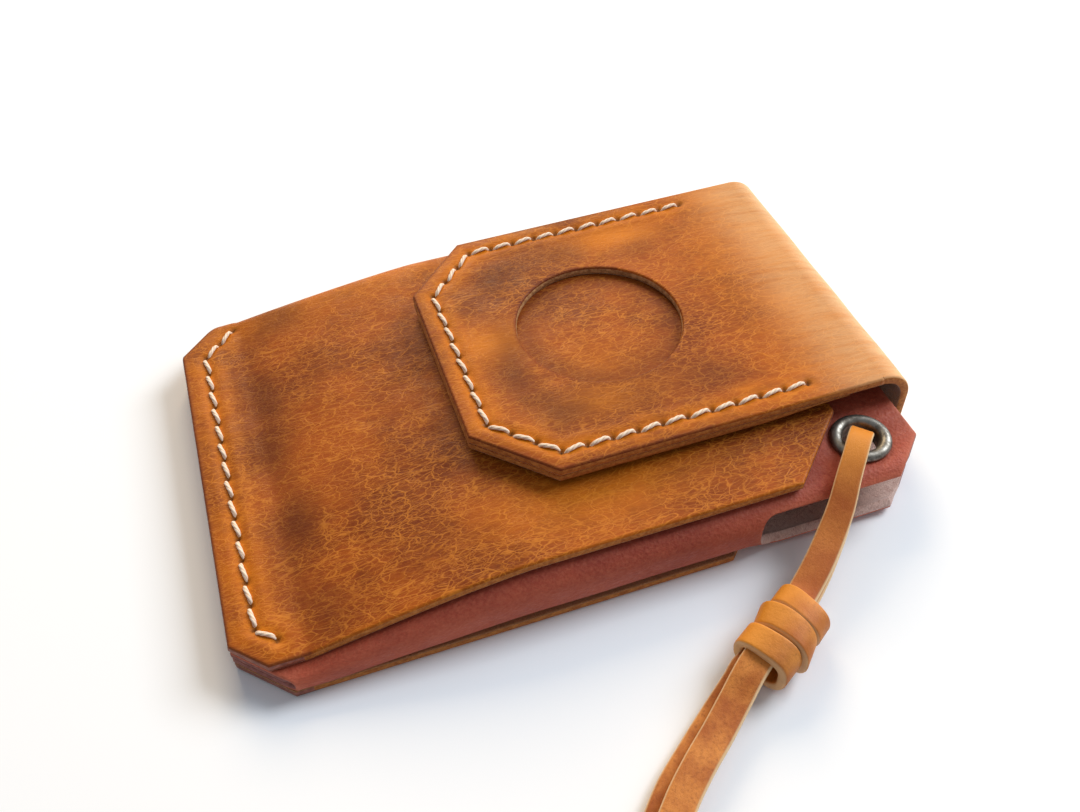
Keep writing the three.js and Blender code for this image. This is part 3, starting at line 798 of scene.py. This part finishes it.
def stitches(holes, height, facing, seed):
    """A stitch from each hole to the next: a three-ply thread that slants across the row and
    dives in at its ends. Facing is 1 above and -1 on the underside. Gives each stitch's points
    and how far out a ply is at them."""
    draw = np.random.default_rng(seed)
    t = np.linspace(0, 1, STITCH_STEPS)
    from_middle = np.abs(2 * t - 1)
    turn = np.linspace(0, 2 * np.pi, THREAD_SIDES + 1)[:-1]
    made = []
    for first, run in zip(holes[:-1], np.diff(holes, axis=0)):
        aside = unit(np.array([-run[1], run[0]]))
        slant = SLANT + draw.uniform(-0.04, 0.04)
        sway = -slant * np.cos(np.pi * t) + draw.uniform(-0.05, 0.05)
        flat = first + run * (0.07 + 0.86 * t)[:, None] + aside * sway[:, None]
        lift = 0.3 - 1.15 * from_middle**4.5 + draw.uniform(-0.03, 0.03)
        middle = np.column_stack([flat, height + facing * lift])
        heading = unit(np.gradient(middle, axis=0))
        side = unit(np.cross(heading, UP))
        up = np.cross(side, heading)
        twist = turn - facing * TWIST * t[:, None] - draw.uniform(0, 2)
        ply = np.abs(np.cos(PLIES / 2 * twist))
        taper = 1 - 0.28 * from_middle[:, None] ** 4
        radius = (CORE_RADIUS + PLY_HEIGHT * np.sqrt(ply)) * taper
        ring = side[:, None] * np.cos(turn)[:, None] + up[:, None] * np.sin(turn)[:, None] * 0.85
        made.append((middle[:, None] + ring * radius[..., None], ply))
    return made


def make_stitching(name, holes, top, bottom, body, cad_node):
    """The stitches on both faces of a seam as one piece."""
    tubes, plies = zip(*stitches(holes, top, 1, 11), *stitches(holes, bottom, -1, 12))
    size = STITCH_STEPS * THREAD_SIDES
    start_cap = np.arange(THREAD_SIDES)[::-1]
    end_cap = np.arange(size - THREAD_SIDES, size)
    sides, caps = [], []
    for start in np.arange(len(tubes)) * size:
        sides.append(grid_quads(STITCH_STEPS, THREAD_SIDES, start, close_columns=True))
        caps += [start_cap + start, end_cap + start]
    faces = [*np.concatenate(sides), *caps]
    # Painted shade: lay is 0 in the grooves between the plies, where the thread is painted greyer,
    # and 1 on their crests.
    lay = np.concatenate(plies).ravel() ** 0.7
    piece = new_piece(name, np.reshape(tubes, (-1, 3)), faces, [THREAD], fields={"lay": lay})
    stand_for(piece, body, "waxed_thread", cad_node)

# ---- folded leather


class Fold:
    """A sheet folded once, lengthwise. Its flat place q runs up the lower leaf, round the fold
    and along the upper leaf, as long as it is where the panels have parted. Side is 1 for a fold
    at the spine and -1 for one at the front. A fullness of 1 makes a half round, and a lower one
    draws its lower half out."""

    def __init__(self, fold_y, side, floors, heights, lower_edge, upper_edge, fullness=1.0):
        self.fold_y, self.side, self.floors, self.heights = fold_y, side, floors, heights
        self.lower_edge, self.upper_edge, self.fullness = lower_edge, upper_edge, fullness
        middle = fold_y - side * heights[1] / 2
        self.lower_length = abs(middle - lower_edge)
        self.upper_start = self.lower_length + np.pi * heights[1] / 2
        self.length = self.upper_start + abs(middle - upper_edge)

    def swing(self, q):
        """Cosine and sine of the angle round the fold, which is minus a quarter turn on the
        lower leaf and a quarter turn on the upper one."""
        share = (q - self.lower_length) / (self.upper_start - self.lower_length)
        turn = np.pi * (np.clip(share, 0, 1) - 0.5)
        power = np.where(turn < 0, self.fullness, 1.0)
        sin = np.sin(turn)
        return np.clip(np.cos(turn), 0, 1) ** power, np.sign(sin) * np.abs(sin) ** power

    def y(self, x, q, depth=0.0):
        """Place across the wallet."""
        radius = along(*self.heights, x) / 2
        middle = self.fold_y - self.side * radius
        lower = np.clip(q / self.lower_length, 0, 1)
        upper = np.clip((q - self.upper_start) / (self.length - self.upper_start), 0, 1)
        on_fold = middle + self.side * (radius - depth) * self.swing(q)[0]
        on_lower = self.lower_edge + (middle - self.lower_edge) * lower
        on_upper = middle + (self.upper_edge - middle) * upper
        on_leaf = np.where(q > self.upper_start, on_upper, on_fold)
        return np.where(q < self.lower_length, on_lower, on_leaf)

    def place(self, x, q, depth):
        """Points in space at a depth under the outer face."""
        radius = along(*self.heights, x) / 2
        z = along(*self.floors, x) + radius + (radius - depth) * self.swing(q)[1]
        return np.stack([x, self.y(x, q, depth), z], -1)

    def sewn_end(self, q):
        """Where a row starts: the sewn end, or further in on its two cut corners."""
        y = self.y(np.zeros_like(q), q)
        return np.maximum(0, END_CHAMFER - np.minimum(y, BODY_WIDTH - y))

    def from_sewn_end(self, x, q):
        """Distance from the sewn end and its cut corners."""
        start = self.sewn_end(q)
        return (x - start) * np.where(start > 0, np.sqrt(0.5), 1)

    def edge(self, x, q, lines, *others):
        """Distance from the nearest cut edge: the sewn end, the lines and the others."""
        distances = [distance_to_line(x, q, corners) for corners in lines]
        return np.minimum.reduce([self.from_sewn_end(x, q), *distances, *others])


def shell_edge(fold, x, q, step_x, step_q, chamfer_q):
    """Distance from the shell's nearest cut edge."""
    lower, upper = fold.lower_length, fold.length
    back = [(0, 0), (BACK_END, 0), (step_x, step_q), (STRAP_END + 1, step_q)]
    end = [(STRAP_END + 1, lower), (PANEL_END, lower), (PANEL_END, chamfer_q)]
    front = [(PANEL_END, chamfer_q), (PANEL_END - PANEL_CHAMFER, upper), (0, upper)]
    return fold.edge(x, q, (back, end, front))


def make_shell():
    """Back panel, spine fold and top panel of one leather, with the root of the strap."""
    heights = (SEWN_HEIGHT, FULL_HEIGHT)
    fold = Fold(BODY_WIDTH, 1, (0, 0), heights, BACK_EDGE, PANEL_EDGE)
    step_q = STRAP_FRONT - BACK_EDGE
    step_x = BACK_END + step_q
    chamfer_q = fold.length - PANEL_CHAMFER
    round_fold = np.linspace(fold.lower_length, fold.upper_start, 29)
    stops = [0, step_q, *round_fold, chamfer_q, fold.length]
    rows = graded(stops, 0.45, fine=(0, step_q, fold.lower_length, fold.length))
    split, step = 66.0, 0.95  # where the patches meet, and how far apart their columns are
    near_seam = np.arange(1.6, 9.2, 0.36)
    main = shares_of(graded([0, *near_seam, split], step, fine=(0,)))
    to_step = shares_of(graded([split, step_x], step))
    to_panel_end = shares_of(graded([step_x, PANEL_END], step, fine=(PANEL_END,)))
    to_strap_end = shares_of(graded([PANEL_END, STRAP_END], step, fine=(STRAP_END,)))
    first_share = (step_x - split) / (PANEL_END - split)
    rest = first_share + (1 - first_share) * to_panel_end[1:]
    upper_shares = np.concatenate([to_step * first_share, rest])
    low, high = rows <= fold.lower_length + TINY, rows >= fold.lower_length - TINY
    strap = low & (rows >= step_q - TINY)
    back_right = np.minimum(BACK_END + rows, step_x)
    panel_right = np.minimum(PANEL_END, PANEL_END - PANEL_CHAMFER + fold.length - rows)
    places, quads = join_patches(
        patch(rows, fold.sewn_end(rows), split, main),
        patch(rows[low], split, back_right[low], to_step),
        patch(rows[strap], step_x, PANEL_END, to_panel_end),
        patch(rows[strap], PANEL_END, STRAP_END, to_strap_end),
        patch(rows[high], split, panel_right[high], upper_shares),
    )
    x, q = places.T
    y = fold.y(x, q)
    edge = shell_edge(fold, x, q, step_x, step_q, chamfer_q)
    away = distance_to_line(x, y, BODY_SEAM)
    upper = q > fold.upper_start
    # The leather swells between its held places, but never down into the floor.
    calm = smooth(edge, 0, 6) * (1 - smooth(x, 88, 96))
    swell = 0.1 * waves(x, q, 24, 3) * calm * np.where(upper, 1, 0.4)
    swell += 0.12 * bell(away - 1.7, 0.9) * (x < 9)
    off_floor = q > fold.lower_length + (fold.upper_start - fold.lower_length) / 3
    swell = np.where(off_floor, swell, np.minimum(swell, 0))
    dent = seam_dent(x, y, BODY_SEAM, BODY_HOLES)
    outer = fold.place(x, q, rounded(edge) + dent - swell)
    inner = fold.place(x, q, SHELL_LEATHER - rounded(edge, 0.2) - swell * 0.6)
    points, faces, part, source = closed_sheet(outer, inner, quads[:, ::-1])
    rim_x = points[faces, 0].mean(axis=1)
    raw = (part == RIM) & (rim_x > 9) & (rim_x < PANEL_END - PANEL_CHAMFER)
    part = np.where(raw, OTHER_RIM, part)
    halo = 0.85 * bell(away, 1.0) + (0.28 + 0.2 * waves(x, q, 5, 9)) * bell(away - 2.0, 1.3)
    halo = np.clip(halo + 0.3 * bell(edge, 0.6), 0, 0.9)
    pulled_patch = 0.5 * spot(x - 52, y - 11, 2.2, 0.8, 7.0) * upper
    by_spine = 0.45 * bell(y - BODY_WIDTH + 3.0, 4.5)
    cloud = np.clip(0.5 + 0.6 * waves(x, q, 17, 5), 0, 1)
    piece = leather_piece(
        "folded_shell", (points, faces, part, source), (x, q, 0),
        [COGNAC, COGNAC_FLESH, COGNAC_EDGE, RAW_EDGE],
        glow=np.maximum.reduce([halo, pulled_patch, by_spine]),
        shade=bell(away - 7.5, 4.0) * cloud * (x < 30),
        burn=0.75 * bell(edge, 0.5) * (x < 10) + 0.5 * bell(PANEL_END - x, 0.4) * upper,
        # hole: painted shade in and around each stitch hole
        hole=near_holes(x, y, BODY_HOLES, 0.5) * 0.95,
    )
    stand_for(piece, "case", "cognac_leather", "outer_shell")


def from_eyelet(x, y):
    """Distance from the eyelet's axis."""
    return np.hypot(x - EYELET[0], y - EYELET[1])


def pocket_edge(fold, x, q, y, notch_low, notch_high):
    """Distance from the pocket's nearest cut edge."""
    tab = POCKET_END - TAB_CHAMFER + y
    end = np.where(tab < POCKET_END - TINY, (tab - x) * np.sqrt(0.5), POCKET_END - x)
    split = NOTCH_START + NOTCH_CORNER
    notch = [
        [(split, notch_low), (POCKET_END, notch_low)],
        [(split, notch_high), (POCKET_END, notch_high)],
        [(NOTCH_START, notch_low + NOTCH_CORNER), (NOTCH_START, notch_high - NOTCH_CORNER)],
    ]
    return fold.edge(x, q, notch, end, q, fold.length - q)


def make_pocket():
    """The card pocket: leather folded at the front, with a finger notch and an eyelet tab."""
    floors = (SHELL_LEATHER + SEWN_GAP, SHELL_LEATHER + RESTING_GAP)
    heights = (2 * POCKET_LEATHER + SEWN_GAP, POCKET_HEIGHT)
    fold = Fold(0, -1, floors, heights, SPINE_LINE, SPINE_LINE, POCKET_FULLNESS)
    middle = fold.length / 2
    half_notch = NOTCH_TURN * POCKET_HEIGHT / 2
    notch_low, notch_high = middle - half_notch, middle + half_notch
    chamfer_low = fold.lower_length - (TAB_CHAMFER - POCKET_HEIGHT / 2)
    chamfer_high = fold.length - chamfer_low
    round_fold = np.linspace(fold.lower_length, fold.length - fold.lower_length, 25)
    corners_q = [0, chamfer_low, notch_low, notch_high, chamfer_high, fold.length]
    rows = graded(sorted([*corners_q, *round_fold]), 0.8, (0, notch_low, notch_high, fold.length))
    near_eyelet = np.arange(chamfer_high - 3, chamfer_high + 12, 0.4)
    rows = np.unique(np.round(np.concatenate([rows, near_eyelet]), 3))
    split = NOTCH_START + NOTCH_CORNER
    into = np.minimum(np.abs(rows - notch_low), np.abs(rows - notch_high))
    to_corner = NOTCH_CORNER - np.minimum(into, NOTCH_CORNER)
    corner = np.sqrt(np.clip(NOTCH_CORNER**2 - to_corner**2, 0, None))
    main_right = split - corner * ((rows > notch_low) & (rows < notch_high))
    tab_y = fold.y(np.full_like(rows, 60.0), rows)
    right = np.minimum(POCKET_END, POCKET_END - TAB_CHAMFER + tab_y)
    main = shares_of(graded([0, split - 3, split], 1.0, fine=(0, split)))
    tab = shares_of(graded([split, 82, POCKET_END], 0.5, fine=(POCKET_END,)))
    low, high = rows <= notch_low + TINY, rows >= notch_high - TINY
    places, quads = join_patches(
        patch(rows, fold.sewn_end(rows), main_right, main),
        patch(rows[low], split, right[low], tab),
        patch(rows[high], split, right[high], tab),
    )
    x, q = places.T
    y = fold.y(x, q)
    centre_x, centre_q = places[quads].mean(axis=1).T
    centre_away = from_eyelet(centre_x, fold.y(centre_x, centre_q))
    quads = quads[(centre_away >= EYELET_HOLE) | (centre_q <= middle)]
    edge = pocket_edge(fold, x, q, y, notch_low, notch_high)
    swell = 0.08 * waves(x, q, 22, 8) * smooth(edge, 0, 5)
    pressed = 0.25 * bell(from_eyelet(x, y) - 3.8, 1.2) * (q > middle)
    outer = fold.place(x, q, rounded(edge, 0.28) - swell + pressed)
    inner = fold.place(x, q, POCKET_LEATHER - rounded(edge, 0.15) - swell * 0.5)
    for face in (outer, inner):
        face[:, 2] -= NOTCH_SAG * smooth(x, 69, 76) * (1 - smooth(y, 4, 26)) * (q < middle)
    points, faces, part, source = closed_sheet(outer, inner, quads)
    face_x, face_y, face_z = points[faces].mean(axis=1).T
    # The notch's lower rim is as rough as the inside, which is dark where the leaves are sewn.
    notch_rim = (part == RIM) & (face_x > NOTCH_START - 0.5) & (face_y < 3.5)
    part = np.where(notch_rim & (face_z < POCKET_TOP - POCKET_HEIGHT / 2), FLESH, part)
    part = np.where((part == FLESH) & (face_x < FLAT_END), RIM, part)
    piece = leather_piece(
        "folded_pocket", (points, faces, part, source), (x + 200, q, points[:, 2]),
        [CHESTNUT, CHESTNUT_FLESH, CHESTNUT_EDGE],
        glow=0.35 * bell(edge, 0.7) + 0.12 * bell(q - middle, 3.0),
    )
    stand_for(piece, "case", "chestnut_leather", "card_pocket")

# ---- strap and flap


# The middle, stretch, size and strength of the soft amber patches.
FLAP_GLOWS = (
    (72, 58, 2.2, 0.7, 5.0, 0.95),
    (58, 23.5, 2.2, 0.7, 4.5, 0.7),
    (46, 40, 1.3, 0.8, 5.0, 0.95),
)


def flap_glow(x, y):
    """Where the flap's leather glows from being stretched: by its fold, and in soft patches."""
    glow = [0.8 * smooth(x, 76, 96)]
    for middle_x, middle_y, long, wide, size, strength in FLAP_GLOWS:
        glow.append(strength * spot(x - middle_x, y - middle_y, long, wide, size))
    return np.clip(np.maximum.reduce(glow) * (0.85 + 0.25 * waves(x, y, 9, 21)), 0, 0.95)


def make_bend():
    """The strap round the open end: a quarter turn, an upright stretch, a wider quarter turn."""
    stops = [0, HAIR, BEND_UPRIGHT, BEND_TURN, BEND_WHOLE - HAIR, BEND_WHOLE]
    columns = graded(stops, 0.35, fine=(0, BEND_WHOLE))
    rows = graded([STRAP_FRONT, SPINE_LINE], 0.6, fine=(STRAP_FRONT, SPINE_LINE))
    s, y = (values.ravel() for values in np.meshgrid(columns, rows))
    lower = np.clip(s / LOWER_BEND, 0, np.pi / 2)
    upper = np.clip((s - BEND_TURN) / UPPER_BEND, 0, np.pi / 2)
    turn = lower + upper
    upright = np.clip(s, BEND_UPRIGHT, BEND_TURN) - BEND_UPRIGHT
    x = STRAP_END + LOWER_BEND * np.sin(lower) - UPPER_BEND * (1 - np.cos(upper))
    z = BEND_LOW - LOWER_BEND * np.cos(lower) + upright + UPPER_BEND * np.sin(upper)
    middle = np.stack([x, y, z], 1)
    out = np.stack([np.sin(turn), 0 * turn, -np.cos(turn)], 1)
    edge = np.minimum(y - STRAP_FRONT, SPINE_LINE - y)
    calm = smooth(s, 0, 3) * (1 - smooth(s, BEND_WHOLE - 3, BEND_WHOLE)) * smooth(edge, 0, 3)
    swell = 0.07 * waves(s * 1.5, y, 12, 31) * calm
    half = SHELL_LEATHER / 2
    outer = middle + out * (half - rounded(edge) + swell)[:, None]
    inner = middle - out * (half - rounded(edge, 0.2))[:, None]
    at_top = smooth(s, 4, BEND_WHOLE)
    quads = grid_quads(len(rows), len(columns))[:, ::-1]
    piece = leather_piece(
        "strap_bend", closed_sheet(outer, inner, quads), (STRAP_END + s, y - BACK_EDGE, 0),
        [COGNAC, COGNAC_FLESH, RAW_EDGE],
        glow=at_top * flap_glow(np.full_like(y, FLAP_END), y) + (1 - at_top) * 0.3,
        # pale: painted highlight on the bend's outer curve, easing to the flap's level at the top
        pale=0.9 * smooth(turn, 0.9, 1.9) - 0.45 * smooth(turn, 2.2, np.pi),
    )
    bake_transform(piece)
    stand_for(piece, None, "cognac_leather", "flap_bend")


def make_flap():
    """The flap: rings that follow its outline and its seam, then close in on the round window."""
    corners = flap_outline(0.0, FLAP_END)
    sides = np.linalg.norm(np.roll(corners, -1, axis=0) - corners, axis=1)
    counts = np.ceil(sides / 0.42).astype(int)
    side = np.repeat(np.arange(len(sides)), counts)
    t = np.concatenate([np.arange(count) / count for count in counts])[:, None]
    rings = []
    for inset in graded([0, HAIR, 5.6], 0.34, fine=(0,)):
        corners = flap_outline(inset, FLAP_END)
        rings.append(corners[side] * (1 - t) + np.roll(corners, -1, axis=0)[side] * t)
    last = rings[-1]
    circle = WINDOW_MIDDLE + WINDOW_RADIUS * unit(last - WINDOW_MIDDLE)
    gap = 8.0
    for step in shares_of(graded([0, gap], 0.42, fine=(gap,)))[1:]:
        rings.append(last * (1 - step) + circle * step)
    places = np.concatenate(rings)
    quads = grid_quads(len(rings), len(side), close_columns=True)
    x, y = places.T
    # The side that goes on into the bend is not a cut edge.
    cut_edge_corners = np.roll(flap_outline(0.0, FLAP_END + 5), 3, axis=0)
    to_middle = np.hypot(*(places - WINDOW_MIDDLE).T)
    edge = np.minimum(distance_to_line(x, y, cut_edge_corners), to_middle - WINDOW_RADIUS)
    away = distance_to_line(x, y, FLAP_SEAM)
    calm = 1 - smooth(x, FLAP_END - 5, FLAP_END)
    swell = calm * (0.08 * waves(x, y, 20, 41) * smooth(edge, 0, 5) + 0.1 * bell(away - 1.6, 0.8))
    top = FLAP_TOP - rounded(edge) - seam_dent(x, y, FLAP_SEAM, FLAP_HOLES) + swell
    outer = np.stack([x, y, top], 1)
    inner = np.stack([x, y, FLAP_BOTTOM + rounded(edge, 0.15)], 1)
    points, faces, part, source = closed_sheet(outer, inner, quads)
    to_middle = np.linalg.norm(points[faces, :2].mean(axis=1) - WINDOW_MIDDLE, axis=1)
    part = np.where((part == RIM) & (to_middle < WINDOW_RADIUS + 0.5), OTHER_RIM, part)
    halo = 0.95 * bell(away, 1.0) + (0.3 + 0.25 * waves(x, y, 5, 45)) * bell(away - 1.8, 1.2)
    cloud = np.clip(0.55 + 0.5 * waves(x, y, 15, 43), 0, 1)
    piece = leather_piece(
        "flap_leather", (points, faces, part, source),
        (STRAP_END + BEND_WHOLE + FLAP_END - x, y - BACK_EDGE, 0),
        [COGNAC, COGNAC_FLESH, RAW_EDGE, WINDOW_WALL],
        glow=np.clip(np.maximum(halo, flap_glow(x, y)), 0, 0.9),
        shade=bell(away - 6.5, 3.5) * cloud * (1 - smooth(x, 72, 88)),
        burn=0.6 * bell(edge, 0.4) * (x < 70),
        # pale: the bend's painted highlight carried onto the flap's end
        pale=0.45 * smooth(x, 80, FLAP_END) ** 2,
        # hole: painted shade in and around each stitch hole
        hole=near_holes(x, y, FLAP_HOLES, 0.5) * 0.95,
    )
    stand_for(piece, "flap", "cognac_leather", "flap_outer")


def make_lining():
    """The lining under the flap, seen through its window; its grain side is up."""
    stops = [STRAP_FRONT, STRAP_FRONT + FLAP_CHAMFER, SPINE_LINE - FLAP_CHAMFER, SPINE_LINE]
    rows = graded(stops, 0.5, fine=(STRAP_FRONT, SPINE_LINE))
    cut = FLAP_CHAMFER - np.minimum(rows - STRAP_FRONT, SPINE_LINE - rows)
    length = LINING_END - FLAP_TIP
    columns = shares_of(graded([0, length], 0.6, fine=(0, length)))
    left = FLAP_TIP + np.maximum(0, cut)
    places, quads = join_patches(patch(rows, left, LINING_END, columns))
    x, y = places.T
    corners = flap_outline(0.0, LINING_END)
    edge = distance_to_line(x, y, [*corners, corners[0]])
    off_middle = np.hypot(*(places - WINDOW_MIDDLE).T)
    dent = seam_dent(x, y, FLAP_SEAM, FLAP_HOLES)
    top = FLAP_BOTTOM - 0.03 - rounded(edge, 0.12) + 0.12 * bell(off_middle, 9.0)
    skive = LINING_SKIVE * smooth(x, LINING_END - 14, LINING_END)
    bottom = LINING_BOTTOM + rounded(edge, 0.15) + dent * 0.5 + skive
    outer, inner = np.stack([x, y, top], 1), np.stack([x, y, np.minimum(bottom, top - 0.06)], 1)
    piece = leather_piece(
        "lining_leather", closed_sheet(outer, inner, quads), (x + 400, y, 0),
        [COGNAC, COGNAC_FLESH, RAW_EDGE],
        glow=0.3 * spot(x - 60, y - 31, 1.0, 0.6, 7.0),
        # shade: painted shade, darker in a ring just inside the window's wall
        shade=0.6 * bell(off_middle - 11.5, 3.0),
    )
    stand_for(piece, "flap", "cognac_leather", "flap_lining")


# ---- eyelet


def lathe(name, profile, cad_node):
    """A closed profile of radius and height turned round the eyelet's upright axis."""
    turn = np.linspace(0, 2 * np.pi, 97)[:-1, None]
    radius, z = np.array(profile).T
    x, y = EYELET[0] + radius * np.cos(turn), EYELET[1] + radius * np.sin(turn)
    points = np.stack([x, y, np.broadcast_to(z, x.shape)], -1).reshape(-1, 3)
    faces = grid_quads(len(turn), len(profile), close_rows=True, close_columns=True)
    stand_for(new_piece(name, points, faces, [NICKEL]), "case", "old_nickel", cad_node)


def arc(middle_r, middle_z, radius_r, radius_z, start, end, steps):
    """Points of a profile round an ellipse, between two angles in degrees."""
    angle = np.radians(np.linspace(start, end, steps))
    return np.stack([middle_r + radius_r * np.cos(angle), middle_z + radius_z * np.sin(angle)], 1)


def make_eyelet():
    """The eyelet's rolled rim, its barrel, the lip set against the washer, and the washer."""
    (_, _, low), (_, _, high) = span("eyelet")
    rim = (span("eyelet")[1] - span("eyelet")[0])[0] / 2
    barrel = EYELET_BORE + EYELET_WALL
    base = POCKET_TOP + 0.02
    dome = (rim - EYELET_BORE) / 2
    crown = arc(EYELET_BORE + dome, base + 0.1, dome, high - base - 0.1, 180, 0, 25)
    under = [(rim - 0.12, base - 0.12), (rim - 0.6, base + 0.02), (barrel, base)]
    lip_top = [(barrel, low + EYELET_WALL), (EYELET_BORE + 0.9, low + EYELET_WALL)]
    lip = [*lip_top, (EYELET_BORE + 1.0, low + EYELET_WALL / 2), (EYELET_BORE + 0.9, low)]
    foot = arc(EYELET_BORE + 0.4, low + 0.4, 0.4, 0.4, 270, 180, 7)
    lathe("rolled_eyelet", [*crown, *under, *lip, *foot], "eyelet")
    washer_low, washer_high = span("eyelet_washer")
    inner, outer = barrel + 0.1, (washer_high - washer_low)[0] / 2
    middle_z = (washer_low[2] + washer_high[2]) / 2
    ring = arc((inner + outer) / 2, middle_z, (outer - inner) / 2, 0.2, 0, 360, 33)
    lathe("eyelet_ring", ring[:0:-1], "eyelet_washer")


make_shell()
make_pocket()
make_bend()
make_flap()
make_lining()
make_eyelet()
make_stitching("body_stitches", BODY_HOLES, SEWN_HEIGHT - 0.12, 0.5, "case", "body_seam_thread")
make_stitching(
    "flap_stitches", FLAP_HOLES, FLAP_TOP - 0.12, LINING_BOTTOM + 0.1, "flap", "flap_seam_thread"
)

# ---- floor and light


def make_floor():
    """A wide pale floor."""
    mesh = bpy.data.meshes.new("floor")
    mesh.from_pydata([(-3, -3, 0), (3, -3, 0), (3, 3, 0), (-3, 3, 0)], [], [(0, 1, 2, 3)])
    white = (0.92, 0.925, 0.94, 1)
    look = Look("pale_floor", Roughness=0.7, Specular_IOR_Level=0.2, Base_Color=white)
    mesh.materials.append(look.material)
    add_to_scene("floor", mesh)


def area_light(name, place, size, watts, tint):
    """A soft square light that faces the wallet."""
    data = bpy.data.lights.new(name, "AREA")
    data.size, data.energy, data.color = size, watts, tint
    back = unit(np.array(place))
    right = unit(np.cross(UP, back))
    face_along(add_to_scene(name, data), place, right, np.cross(back, right))


def make_light():
    """Cool window light from the right and warmer light from behind, over an even pale sky."""
    world = bpy.data.worlds.new("pale_sky")
    world.use_nodes = True
    background = world.node_tree.nodes["Background"]
    background.inputs[0].default_value = (0.84, 0.91, 1.0, 1)
    background.inputs[1].default_value = 0.36
    bpy.context.scene.world = world
    area_light("window", (0.9, 0.2, 0.72), 0.6, 13.5, (0.88, 0.94, 1.0))
    area_light("back_window", (0.1, 0.95, 0.62), 0.6, 10.0, (1.0, 0.78, 0.5))


make_floor()
make_light()
bpy.context.scene.view_settings.view_transform = "Standard"
